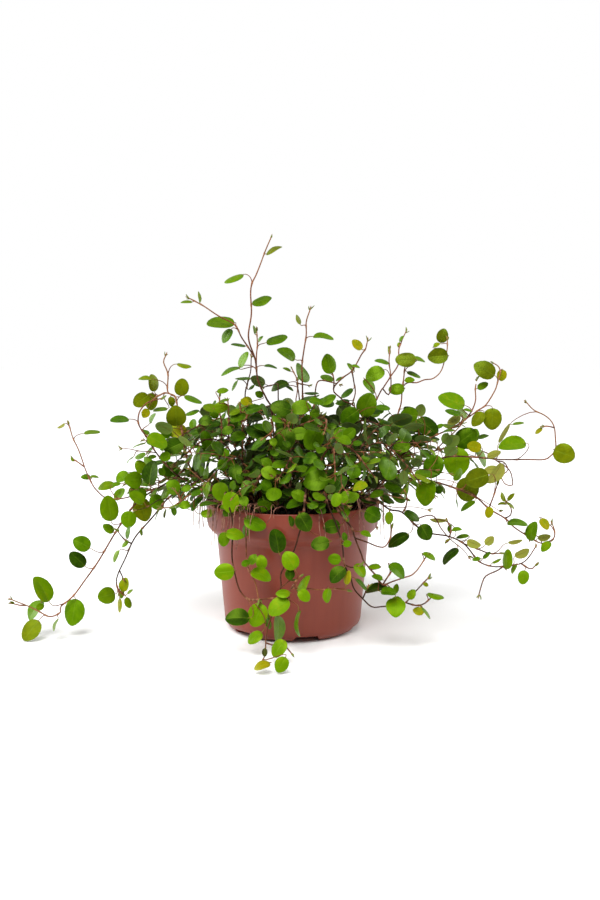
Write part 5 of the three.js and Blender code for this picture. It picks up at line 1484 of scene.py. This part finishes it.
def add_tip_leaves(skin, curve, shoot):
    """The pair of young leaves at the end of a run, narrow and still folded."""
    end, run = curve[-1][0], unit(sub(curve[-1][0], curve[-5][0]))
    side = turn_about(unit(cross(run, (0.3, 0.2, 0.9))), run, 6 * looks())
    pair = [(spread, looks.between(TIP_LEAVES) * share) for spread, share in TIP_PAIR]
    for spread, length in pair:
        midrib = unit(along(run, side, spread))
        across = unit(cross(midrib, unit(along(side, run, -dot(side, midrib)))))
        middle = along(end, midrib, length / 2)
        blade = blade_of(middle, midrib, across, length, length * looks.between(TIP_LEAF_WIDTHS), shoot)
        form = leaf_form(blade, "", 1)
        form.update(age=0.3 + 0.3 * looks(), tint=0.55 + 0.4 * looks(), fold=0.7, cup=0.2)
        form["bend"] = TIP_LEAF_BEND * spread
        add_leaf(skin, blade, form)


def shoot_piece(shoot, bark, green):
    name = shoot["name"]
    skin = Skin()
    curves = [smooth_run(run["points"], run["radii"]) for run in shoot["runs"]]
    nodes = [[] for _ in curves]
    seed = looks()
    for item in shoot["leaves"]:
        blade = item["blade"]
        which, step = attach(blade, curves)
        nodes[which].append(step)
        curve = curves[which]
        form = leaf_form(blade, item["tone"], step / len(curve))
        add_leaf(skin, blade, form)
        run = unit(sub(curve[min(step + 3, len(curve) - 1)][0], curve[step][0]))
        add_petiole(skin, curve[step][0], run, blade, form, seed)
    at_tip = STEM_AGE_AT_TIP.get(name, 1 if shoot["entry"] else CROWN_STEM_AGE)
    for which, curve in enumerate(curves):
        at_foot = min(FORK_AGE if which else 0, at_tip)
        add_stem(skin, curve, nodes[which], at_foot, at_tip, seed)
        add_bud(skin, curve[-1][0], unit(sub(curve[-1][0], curve[-4][0])), seed)
        add_tip_leaves(skin, curve, name)
    piece = skin.build("vine_" + name, (bark, green), crease=48)
    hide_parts(name)
    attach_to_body(piece, "root")
    return piece


# Finishes. Colours are in thousandths of full light; places in a ramp are shares of it.


def rgb(r, g, b):
    return (r / 1000, g / 1000, b / 1000, 1)


# Leaves: from the youngest to the oldest, plain and tinted; the darker end also gives the painted shade of
# leaves deep in the crown
LEAF_GREENS = (
    (0.0, (250, 250, 2)), (0.25, (108, 225, 1)), (0.45, (80, 182, 1)), (0.62, (53, 138, 1)),
    (0.8, (23, 74, 1)), (1.0, (8, 30, 1)),
)
LEAF_OLIVES = (
    (0.0, (300, 225, 3)), (0.3, (160, 150, 2)), (0.5, (105, 105, 2)), (0.8, (48, 58, 2)), (1.0, (28, 22, 8)),
)
LEAF_PALE = rgb(190, 290, 20)
LEAF_BELOW = rgb(190, 235, 80)
LEAF_RIB_BELOW = rgb(300, 130, 90)
LEAF_GLOSS = rgb(620, 1000, 60)
VEINS_ALONG = 6.5
VEINS_FORWARD = 2.3

# Stems: from the oldest bark to the tip
STEM_BROWNS = (
    (0.0, (15, 8, 6)), (0.4, (36, 14, 8)), (0.68, (122, 40, 18)), (0.87, (225, 74, 28)), (1.0, (225, 98, 34)),
)
NODE_PALE = rgb(420, 200, 110)
PETIOLE_RED = rgb(150, 42, 16)
PETIOLE_GREEN = rgb(150, 170, 15)
BARK_GLOSS = rgb(1000, 520, 300)
TWIG_BROWNS = ((0.0, (34, 12, 8)), (0.4, (150, 50, 28)), (0.65, (250, 100, 60)), (1.0, (360, 170, 105)))

SOIL_BROWNS = ((0.2, (8, 5, 4)), (0.5, (28, 15, 9)), (0.62, (75, 42, 24)), (0.8, (150, 90, 50)))
SOIL_DAMP = rgb(20, 11, 7)
SOIL_PALE_GRAIN = rgb(210, 150, 90)

POT_COLOUR = rgb(195, 29, 12)
POT_PALE = rgb(255, 54, 28)
POT_DARK = rgb(145, 20, 9)
POT_STREAKS = (260.0, 260.0, 14.0)

NOISE_DETAIL = 2.0
FLOOR_WHITES = (rgb(955, 955, 955), rgb(970, 970, 970))


class Amount:
    """A number that changes over a surface. Sums and products of amounts are Math nodes."""

    def __init__(self, finish, socket):
        self.finish, self.socket = finish, socket

    def math(self, operation, a, b=0.5):
        return Amount(self.finish, self.finish.node("Math", {0: a, 1: b}, operation=operation).outputs[0])

    def __add__(self, other):
        return self.math("ADD", self, other)

    def __sub__(self, other):
        return self.math("SUBTRACT", self, other)

    def __rsub__(self, other):
        return self.math("SUBTRACT", other, self)

    def __mul__(self, other):
        return self.math("MULTIPLY", self, other)

    def __abs__(self):
        return self.math("ABSOLUTE", self)

    def sine(self):
        return self.math("SINE", self)


class Finish:
    """A material, a world or a group of nodes that is made node by node."""

    def __init__(self, tree):
        self.tree = tree

    def feed(self, socket, value):
        """Links a socket to what feeds it, or sets it."""
        value = value.socket if isinstance(value, Amount) else value
        if isinstance(value, bpy.types.NodeSocket):
            self.tree.links.new(value, socket)
        else:
            socket.default_value = value

    def node(self, kind, inputs=None, **settings):
        made = self.tree.nodes.new(kind if kind.startswith("NodeGroup") else "ShaderNode" + kind)
        for name, value in settings.items():
            setattr(made, name, value)
        for socket, value in (inputs or {}).items():
            self.feed(made.inputs[socket], value)
        return made

    def share(self, value, low, high, low_out=0.0, high_out=1.0):
        """Where a value lies between low and high, with soft ends."""
        inputs = {"Value": value, "From Min": low, "From Max": high, "To Min": low_out, "To Max": high_out}
        return Amount(self, self.node("MapRange", inputs, interpolation_type="SMOOTHSTEP").outputs[0])

    def colours(self, a, b, amount):
        made = self.node("Mix", data_type="RGBA")
        factor = [one for one in made.inputs if one.type == "VALUE"][0]
        first, second = [one for one in made.inputs if one.type == "RGBA"]
        for socket, value in ((factor, amount), (first, a), (second, b)):
            self.feed(socket, value)
        return [one for one in made.outputs if one.type == "RGBA"][0]

    def ramp(self, value, stops):
        made = self.node("ValToRGB", {"Fac": value})
        elements = made.color_ramp.elements
        while len(elements) < len(stops):
            elements.new(0.5)
        for element, (place, colour) in zip(elements, stops):
            element.position = place
            element.color = rgb(*colour)
        return made.outputs["Color"]

    def noise(self, place, scale, roughness=0.55):
        inputs = {"Vector": place, "Scale": scale, "Detail": NOISE_DETAIL, "Roughness": roughness}
        return Amount(self, self.node("TexNoise", inputs).outputs["Fac"])

    def place(self):
        return self.node("TexCoord").outputs["Object"]

    def parts(self, name):
        """The three numbers of a mesh attribute."""
        vector = self.node("Attribute", attribute_name=name).outputs["Vector"]
        return [Amount(self, one) for one in self.node("SeparateXYZ", {0: vector}).outputs]

    def bump(self, height, distance, strength):
        inputs = {"Height": height, "Distance": distance, "Strength": strength}
        return self.node("Bump", inputs).outputs["Normal"]

    def mottling(self, patch_size, grain_size):
        """The patches and the grain of natural_mottling at this finish's own sizes."""
        made = self.node("Group", {}, node_tree=bpy.data.node_groups["natural_mottling"])
        self.feed(made.inputs["Patch size"], patch_size)
        self.feed(made.inputs["Grain size"], grain_size)
        return Amount(self, made.outputs["Patches"]), Amount(self, made.outputs["Grain"])


def new_finish(name):
    material = bpy.data.materials.new(name)
    material.use_nodes = True
    material.node_tree.nodes.clear()
    return material, Finish(material.node_tree)


def close(finish, colour, roughness, normal, **fixed):
    """The shader of a finish and its output. fixed are numbers that are the same all over."""
    shader = finish.node("BsdfPrincipled", {"Base Color": colour, "Roughness": roughness, "Normal": normal})
    for name, value in fixed.items():
        shader.inputs[name.replace("_", " ")].default_value = value
    finish.node("OutputMaterial", {"Surface": shader.outputs[0]})


def make_mottling():
    """Patches of two sizes with grain over them, as found on leaves, bark, peat and moulded plastic."""
    tree = bpy.data.node_groups.new("natural_mottling", "ShaderNodeTree")
    for name, start in (("Patch size", 200.0), ("Grain size", 2000.0)):
        socket = tree.interface.new_socket(name=name, in_out="INPUT", socket_type="NodeSocketFloat")
        socket.default_value = start
    for name in ("Patches", "Grain"):
        tree.interface.new_socket(name=name, in_out="OUTPUT", socket_type="NodeSocketFloat")
    finish = Finish(tree)
    given = finish.node("NodeGroupInput").outputs
    place = finish.place()
    patches = finish.share(finish.noise(place, given["Patch size"]), 0.3, 0.7)
    grain = finish.noise(place, given["Grain size"], 0.6)
    finish.node("NodeGroupOutput", {"Patches": patches, "Grain": grain})


def leaf_finish():
    """Glossy green leaves: paler along the midrib and margin, grey-green below, olive or yellow when young."""
    material, finish = new_finish("vine_leaf")
    u, v, side = finish.parts("form")
    age, tint, _ = finish.parts("tone")
    patches, grain = finish.mottling(260.0, 1500.0)
    aside = abs(v)
    # The age read here includes the painted shade of leaves near the heart of the crown
    shade = age + (patches - 0.5) * 0.16
    colour = finish.colours(finish.ramp(shade, LEAF_GREENS), finish.ramp(shade, LEAF_OLIVES), tint)
    # Veins leave the midrib forwards, a few on each side, and fade before the margin
    wave = abs(((u * VEINS_ALONG - aside * VEINS_FORWARD) * math.pi).sine())
    vein = finish.share(wave, 0.0, 0.3, 1.0, 0.0) * finish.share(aside, 0.55, 0.95, 1.0, 0.0)
    midrib = finish.share(aside, 0.0, 0.09, 1.0, 0.0) * finish.share(u, 0.5, 1.0, 1.0, 0.35)
    margin = finish.share(aside, 0.86, 1.0)
    pale = finish.colours(colour, LEAF_PALE, 0.5)
    for mask in (vein * 0.14, midrib * 0.42, margin * 0.22):
        colour = finish.colours(colour, pale, mask)
    below = finish.colours(finish.colours(colour, LEAF_BELOW, 0.45), LEAF_RIB_BELOW, midrib * 0.35)
    upper = finish.share(side, 0.4, 0.6)
    colour = finish.colours(below, colour, upper)
    rough = grain * 0.16 + 0.24 + (1.0 - upper) * 0.22
    normal = finish.bump(grain * 0.35 - (vein * 0.4 + midrib), 0.00012, 0.7)
    close(finish, colour, rough, normal, Specular_IOR_Level=0.34, Specular_Tint=LEAF_GLOSS)
    return material


def stem_finish():
    """Wiry stems: dark brown at the foot, then reddish brown, pinkish green at the tip, with pale nodes."""
    material, finish = new_finish("vine_stem")
    young, near_node, is_petiole = finish.parts("form")
    of_stem, _, _ = finish.parts("tone")
    patches, grain = finish.mottling(420.0, 3500.0)
    age = young + (patches - 0.5) * 0.25 + (of_stem - 0.5) * 0.3
    colour = finish.colours(finish.ramp(age, STEM_BROWNS), NODE_PALE, near_node * 0.5)
    leafy = finish.colours(PETIOLE_RED, PETIOLE_GREEN, finish.share(young, 0.87, 0.97))
    colour = finish.colours(colour, leafy, is_petiole * 0.85)
    normal = finish.bump(grain, 0.0001, 0.6)
    close(finish, colour, grain * 0.25 + 0.38, normal, Specular_IOR_Level=0.25, Specular_Tint=BARK_GLOSS)
    return material


def twig_finish():
    """Dry, curled twigs: red-brown bark that is scuffed paler."""
    material, finish = new_finish("dry_twig")
    along_twig, _, _ = finish.parts("form")
    patches, grain = finish.mottling(300.0, 2600.0)
    colour = finish.ramp(patches + along_twig * 0.2, TWIG_BROWNS)
    close(finish, colour, grain * 0.3 + 0.5, finish.bump(grain, 0.00015, 0.7))
    return material


def pot_finish():
    """Thin moulded plastic, satin, red-brown, a little scuffed and dusty."""
    material, finish = new_finish("pot_plastic")
    place = finish.place()
    patches, grain = finish.mottling(38.0, 1900.0)
    speck = finish.share(finish.noise(place, 900.0), 0.66, 0.74)
    colour = finish.colours(POT_COLOUR, POT_PALE, patches * 0.22)
    colour = finish.colours(colour, POT_PALE, speck * 0.3)
    # Faint upright streaks, left by the mould
    turned = finish.node("Mapping", {"Vector": place, "Scale": POT_STREAKS}).outputs[0]
    streaks = finish.noise(turned, 1.0)
    colour = finish.colours(colour, POT_DARK, finish.share(streaks, 0.45, 0.75, 0.0, 0.25))
    rough = patches * 0.07 + 0.36 + speck * 0.15
    normal = finish.bump(grain * 0.5 + streaks * 0.5, 0.00008, 0.5)
    close(finish, colour, rough, normal, Specular_IOR_Level=0.36)
    return material


def soil_finish():
    """Damp dark peat with brown fibres and a few pale grains."""
    material, finish = new_finish("peat")
    patches, grain = finish.mottling(300.0, 1400.0)
    crumbs = finish.node("TexVoronoi", {"Vector": finish.place(), "Scale": 650.0}).outputs
    pick = finish.node("SeparateXYZ", {0: crumbs["Color"]}).outputs[0]
    colour = finish.colours(finish.ramp(grain, SOIL_BROWNS), SOIL_DAMP, patches * 0.6)
    colour = finish.colours(colour, SOIL_PALE_GRAIN, finish.share(pick, 0.93, 0.97) * 0.45)
    close(finish, colour, grain * 0.2 + 0.75, finish.bump(grain - crumbs["Distance"], 0.0012, 0.8))
    return material


def floor_finish():
    material, finish = new_finish("pale_floor")
    shade = finish.noise(finish.place(), 40.0)
    close(finish, finish.colours(*FLOOR_WHITES, shade), shade * 0.1 + 0.8, finish.bump(shade, 0.00005, 0.1))
    return material


# Pot

LIP_STEPS = 6
CORNER_STEPS = 8
COLLAR_ROUND = 1.6
COLLAR_ROUND_STEPS = 5
DRAIN_SIDES = 24
PAST_THE_FACE = 1
POT_CREASE = 32


def around(radius, turn, level=0):
    """A point at a distance and an angle from the pot's axis."""
    return (radius * math.cos(turn), radius * math.sin(turn), level)


def turns(count, first=0):
    """The angles of a full turn in equal steps, from a first angle in degrees."""
    return [math.radians(first) + 2 * math.pi * k / count for k in range(count)]


def rounded(before, corner, after):
    """The points of a soft corner of a profile."""
    before, corner, after = (*before, 0), (*corner, 0), (*after, 0)
    start = along(corner, unit(sub(before, corner)), COLLAR_ROUND)
    end = along(corner, unit(sub(after, corner)), COLLAR_ROUND)
    shares = [i / COLLAR_ROUND_STEPS for i in range(COLLAR_ROUND_STEPS + 1)]
    return [mix(mix(start, corner, t), mix(corner, end, t), t)[:2] for t in shares]


def foot_arc(radius, level, corner):
    """The rounded foot of the wall, from the underside to the side."""
    return [
        (radius - corner + corner * math.sin(turn), level + corner - corner * math.cos(turn))
        for turn in (math.radians(90 * i / CORNER_STEPS) for i in range(CORNER_STEPS + 1))
    ]


def wall_profile(inset):
    """One side of the wall, from the middle of the foot to the lip. inset is 0 outside and the wall inside."""
    foot = POT_HEIGHT - COLLAR_HEIGHT
    shoulder = (BODY_TOP_RADIUS - inset, foot - COLLAR_SLOPE + inset / 2)
    collar = (RIM_RADIUS - COLLAR_TAPER - inset, foot + inset / 2)
    arc = foot_arc(BODY_FOOT_RADIUS - inset, inset, FOOT_CORNER - inset)
    top = (RIM_RADIUS - inset, POT_HEIGHT - 1)
    return [(0, inset), *arc, *rounded(arc[-1], shoulder, collar), *rounded(shoulder, collar, top)]


def lathe(name, profile, finish):
    """A closed body turned round the pot's axis. The profile starts and ends on the axis."""
    skin = Skin()
    rings = []
    for radius, level in profile:
        angles = turns(POT_SEGMENTS) if radius else [0]
        rings.append([skin.point(around(radius, turn, level)) for turn in angles])
    for low, high in zip(rings, rings[1:]):
        for k in range(POT_SEGMENTS):
            following = (k + 1) % POT_SEGMENTS
            if len(low) == 1:
                skin.face((low[0], high[following], high[k]))
            elif len(high) == 1:
                skin.face((low[k], low[following], high[0]))
            else:
                skin.face((low[k], low[following], high[following], high[k]))
    return skin.build(name, (finish,))


def cutter(shapes):
    """A set of solids to cut with. Each is a list of corners and a list of faces."""
    skin = Skin()
    for corners, faces in shapes:
        made = [skin.point(corner) for corner in corners]
        for face in faces:
            skin.face(tuple(made[k] for k in face))
    return skin.build("pot_cutter", ())


def prism_faces(sides):
    """The faces between a ring of corners and the same ring further on."""
    faces = [tuple(reversed(range(sides))), tuple(range(sides, 2 * sides))]
    return faces + [(k, (k + 1) % sides, sides + (k + 1) % sides, sides + k) for k in range(sides)]


def channel_shapes(spread):
    foot, roof, top = CHANNEL_FOOT_WIDTH / 2 + spread, CHANNEL_ROOF_WIDTH / 2 + spread, CHANNEL_HEIGHT + spread
    section = ((-foot, -PAST_THE_FACE), (foot, -PAST_THE_FACE), (roof, top), (-roof, top))
    shapes = []
    for turn in turns(CHANNEL_COUNT, CHANNEL_FIRST_ANGLE):
        corners = []
        for far in (CHANNEL_INNER_END - spread, CHANNEL_OUTER_END):
            for wide, level in section:
                corners.append(along(around(far, turn, level), around(1, turn + math.pi / 2), wide))
        shapes.append((corners, prism_faces(len(section))))
    return shapes


def drain_shapes():
    shapes = []
    for turn in turns(CHANNEL_COUNT, CHANNEL_FIRST_ANGLE):
        corners = []
        for level in (CHANNEL_HEIGHT - WALL, CHANNEL_HEIGHT + 3 * WALL):
            middle = around(DRAIN_DISTANCE, turn, level)
            corners += [add(middle, around(DRAIN_RADIUS, angle)) for angle in turns(DRAIN_SIDES)]
        shapes.append((corners, prism_faces(DRAIN_SIDES)))
    return shapes


def cut_away(piece, tool):
    """Cuts a tool's shape out of a piece and deletes the tool."""
    cut = piece.modifiers.new("cut", "BOOLEAN")
    cut.operation = "DIFFERENCE"
    cut.solver = "EXACT"
    cut.use_self = True
    cut.object = tool
    settle(piece)
    bpy.data.objects.remove(tool)


def settle(piece):
    """Applies a piece's modifiers to its mesh."""
    shown = piece.evaluated_get(bpy.context.evaluated_depsgraph_get())
    mesh = bpy.data.meshes.new_from_object(shown)
    piece.modifiers.clear()
    piece.data = mesh


def pot_piece(finish):
    middle, lip_foot = RIM_RADIUS - WALL / 2, POT_HEIGHT - WALL / 2
    lip = [
        (middle + WALL / 2 * math.cos(turn), lip_foot + WALL / 2 * math.sin(turn))
        for turn in (math.pi * i / LIP_STEPS for i in range(LIP_STEPS + 1))
    ]
    mouth = [(RIM_RADIUS - WALL, lip_foot), (RIM_RADIUS - 2 * WALL, POT_HEIGHT + 1), (0, POT_HEIGHT + 1)]
    body = lathe("terracotta_pot", wall_profile(0) + lip + [(0, lip_foot)], finish)
    cut_away(body, cutter(channel_shapes(0)))
    cavity = lathe("pot_cavity", wall_profile(WALL) + mouth, finish)
    cut_away(cavity, cutter(channel_shapes(WALL)))
    cut_away(body, cavity)
    cut_away(body, cutter(drain_shapes()))
    body.data.set_sharp_from_angle(angle=math.radians(POT_CREASE))
    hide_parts("nursery_pot")
    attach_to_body(body, "root")
    return body


# Soil

ground = Chance(5150)
SOIL_RINGS = 30
SOIL_CREASE = 50
# The lumps and grains of its top as (height, width, which layer of the noise)
SOIL_LUMPS = ((0.9, 9, 0), (0.45, 4, 3), (0.5, 1.4, 7))
CRUMBS = 190
CRUMB_SIZES = (0.6, 1.9)
CRUMB_STRETCH = (0.5, 1.5)
CRUMB_KNOBS = 0.45
CRUMB_RISE = 0.1
LARGE_CRUMB = 1.2


def soil_level(x, y):
    """The height of the lumpy top of the soil."""
    crown = SOIL_CROWN * (1 - (math.hypot(x, y) / RIM_RADIUS) ** 2)
    spots = [(high, mathutils.Vector((x / wide, y / wide, layer))) for high, wide, layer in SOIL_LUMPS]
    return SOIL_HEIGHT + crown + sum(high * noise.noise(spot) for high, spot in spots)


def add_crumb(shape, edge):
    """One knobbly crumb of peat, half sunk in the soil."""
    x, y, _ = around((edge - 2) * math.sqrt(ground()), 2 * math.pi * ground())
    wide = ground.between(CRUMB_SIZES)
    stretch = [wide * ground.between(CRUMB_STRETCH) for _ in range(3)]
    turn = mathutils.Euler([6 * ground() for _ in range(3)]).to_matrix()
    seed = mathutils.Vector((50 * ground(), 0, 0))
    middle = mathutils.Vector((x, y, soil_level(x, y) + CRUMB_RISE * wide))
    subdivisions = 2 if wide > LARGE_CRUMB else 1
    for vertex in bmesh.ops.create_icosphere(shape, subdivisions=subdivisions, radius=1)["verts"]:
        knob = 1 + CRUMB_KNOBS * noise.noise(vertex.co * 1.7 + seed)
        spot = mathutils.Vector([vertex.co[k] * stretch[k] * knob for k in range(3)])
        vertex.co = (turn @ spot + middle) * MM


def soil_piece(finish):
    gap = WALL + SOIL_GAP
    edge = RIM_RADIUS - COLLAR_TAPER * (POT_HEIGHT - SOIL_HEIGHT) / COLLAR_HEIGHT - gap
    rings = [edge * (1 - i / SOIL_RINGS) for i in range(SOIL_RINGS)]
    profile = wall_profile(gap) + [(edge, SOIL_HEIGHT - 1)] + [(radius, SOIL_HEIGHT) for radius in rings]
    body = lathe("peat_surface", profile + [(0, SOIL_HEIGHT)], finish)
    for vertex in body.data.vertices:
        if vertex.co.z > (SOIL_HEIGHT - 0.5) * MM:
            vertex.co.z = soil_level(vertex.co.x / MM, vertex.co.y / MM) * MM
    cut_away(body, cutter(channel_shapes(gap)))
    shape = bmesh.new()
    shape.from_mesh(body.data)
    for _ in range(CRUMBS):
        add_crumb(shape, edge)
    shape.to_mesh(body.data)
    shape.free()
    body.data.polygons.foreach_set("use_smooth", [True] * len(body.data.polygons))
    body.data.set_sharp_from_angle(angle=math.radians(SOIL_CREASE))
    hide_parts("potting_soil")
    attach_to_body(body, "root")
    return body


# Dry twigs: old, thin, curled ends that hang over the rim, in groups of (first angle, last angle, how many)

TWIG_GROUPS = (
    (-160, -144, 8), (-144, -110, 20), (-110, -84, 2), (-84, -56, 3), (-56, -20, 9), (-20, 60, 7), (60, 130, 7),
    (130, 204, 9),
)
DRY_TWIG_RADII = (0.4, 0.2)
DRY_TWIG_POINTS = 13
DRY_TWIG_SIDES = 5
# How they differ: turn off the outward way, distance of the foot from the axis, height over the rim, fall from
# there, size and place of the curl, and how far they reach beyond the rim
DRY_TWIG_SPREADS = {
    "turn": (-0.45, 0.45), "start": (34, 52), "over": (2, 9), "drop": (6, 34), "curl": (1.5, 4.5),
    "phase": (0, 6), "beyond": (2.5, 7.5),
}
# Shares of its length where a twig is at its highest and where it starts to fall
HIGHEST_AT = 0.45
FALLS_FROM = 0.55
OFF_THE_RIM = 1.2


def clear_of_rim(spot):
    """Pushes a place that is over or beside the rim outside it."""
    radius = math.hypot(spot[0], spot[1])
    if radius <= RIM_RADIUS - 6 or spot[2] >= POT_HEIGHT + 2:
        return spot
    push = max(1, (RIM_RADIUS + OFF_THE_RIM) / radius)
    return (spot[0] * push, spot[1] * push, spot[2])


def dry_twig_course(angle):
    form = ground.each(DRY_TWIG_SPREADS)
    curl, phase = form["curl"], form["phase"]
    foot = around(form["start"], angle, SOIL_HEIGHT + 1)
    far = RIM_RADIUS + form["beyond"] - form["start"]
    highest = POT_HEIGHT + form["over"] - SOIL_HEIGHT
    outwards, sideways = around(1, angle), around(1, angle + math.pi / 2)
    points = []
    for i in range(DRY_TWIG_POINTS):
        t = i / (DRY_TWIG_POINTS - 1)
        falling = max(0, t - FALLS_FROM)
        out = far * min(1, t / FALLS_FROM) + 3 * falling
        level = highest * math.sin(math.pi / 2 * min(1, t / HIGHEST_AT))
        level += 0.5 * curl * math.cos(phase + 7 * t) * t - form["drop"] * (falling / (1 - FALLS_FROM)) ** 1.3
        spot = along(along(foot, around(1, angle + form["turn"]), out * 0.55), outwards, out * 0.5)
        spot = along(spot, sideways, curl * math.sin(phase + 5 * t) * t)
        points.append(clear_of_rim(along(spot, UP, level)))
    return points


def dry_twigs(finish):
    skin = Skin()
    for first, last, count in TWIG_GROUPS:
        for k in range(count):
            points = dry_twig_course(math.radians(first + (last - first) * (k + ground()) / count))
            radii = taper(len(points), *DRY_TWIG_RADII)
            ends = [points[0], *points, points[-1]]
            rings = []
            for i in range(len(points) - 1):
                for t in (0, 0.5):
                    spot = catmull(*ends[i : i + 4], t)
                    share = len(rings) / (2 * (len(points) - 1))
                    rings.append((spot, radii[i] + (radii[i + 1] - radii[i]) * t, (share, 0, 0)))
            skin.tube(rings, DRY_TWIG_SIDES, ground())
    piece = skin.build("dry_twigs", (finish,))
    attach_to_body(piece, "root")
    return piece


# The studio, in metres and watts

FLOOR_HALF = 4.0
LIGHT_TARGET = (0.0, 0.0, 0.1)
LIGHT_SIZE = 1.0
SIDE_LIGHTS = (("left_softbox", (-1.2, 0.35, 0.6), 15.0), ("right_softbox", (1.2, 0.35, 0.6), 11.0))
OVERHEAD_LIGHT = 3.55
OVERHEAD_SPREAD = 40
OVERHEAD_PLACE = (0, 0, 2)
OVERHEAD_TILT = (38, 0, -18)
WHITE = rgb(1000, 1000, 1000)
WORLD_SEEN = 1.0
WORLD_LIGHT = 0.23
CAMERA_PLACE = (0.005, -0.75, 0.212)
CAMERA_DOWN = 6.72
CAMERA_LENS = 43.84
CAMERA_SENSOR = 36


def set_up(name, thing, place, turned):
    """Puts a light or a camera in the studio."""
    stand = bpy.data.objects.new(name, thing)
    stand.location = place
    stand.rotation_euler = turned
    bpy.context.scene.collection.objects.link(stand)
    return stand


def white_floor():
    skin = Skin()
    side = FLOOR_HALF / MM
    corners = ((-side, -side, 0), (side, -side, 0), (side, side, 0), (-side, side, 0))
    skin.face(tuple(skin.point(corner) for corner in corners))
    skin.build("studio_floor", (floor_finish(),))


def white_world():
    """White where the camera looks straight at it, and a soft light from all round."""
    world = bpy.data.worlds.new("white_surroundings")
    world.use_nodes = True
    world.node_tree.nodes.clear()
    finish = Finish(world.node_tree)
    soft, bright = [
        finish.node("Background", {"Color": WHITE, "Strength": strength}).outputs[0]
        for strength in (WORLD_LIGHT, WORLD_SEEN)
    ]
    straight = finish.node("LightPath").outputs["Is Camera Ray"]
    both = finish.node("MixShader", {0: straight, 1: soft, 2: bright}).outputs[0]
    finish.node("OutputWorld", {"Surface": both})
    bpy.context.scene.world = world


def softboxes():
    overhead = bpy.data.lights.new("overhead_softbox", "SUN")
    overhead.energy = OVERHEAD_LIGHT
    overhead.angle = math.radians(OVERHEAD_SPREAD)
    set_up("overhead_softbox", overhead, OVERHEAD_PLACE, [math.radians(turn) for turn in OVERHEAD_TILT])
    for name, place, power in SIDE_LIGHTS:
        lamp = bpy.data.lights.new(name, "AREA")
        lamp.shape = "SQUARE"
        lamp.size = LIGHT_SIZE
        lamp.energy = power
        towards = mathutils.Vector(LIGHT_TARGET) - mathutils.Vector(place)
        set_up(name, lamp, place, towards.to_track_quat("-Z", "Y").to_euler())


def front_camera():
    camera = bpy.data.cameras.new("front_camera")
    camera.lens = CAMERA_LENS
    camera.sensor_width = CAMERA_SENSOR
    turned = (math.radians(90 - CAMERA_DOWN), 0, 0)
    bpy.context.scene.camera = set_up("front_camera", camera, CAMERA_PLACE, turned)
    bpy.context.scene.view_settings.view_transform = "Standard"


def build():
    make_mottling()
    bark, green = stem_finish(), leaf_finish()
    for shoot in grow_plant():
        shoot_piece(shoot, bark, green)
    pot_piece(pot_finish())
    soil_piece(soil_finish())
    dry_twigs(twig_finish())
    white_floor()
    white_world()
    softboxes()
    front_camera()


build()
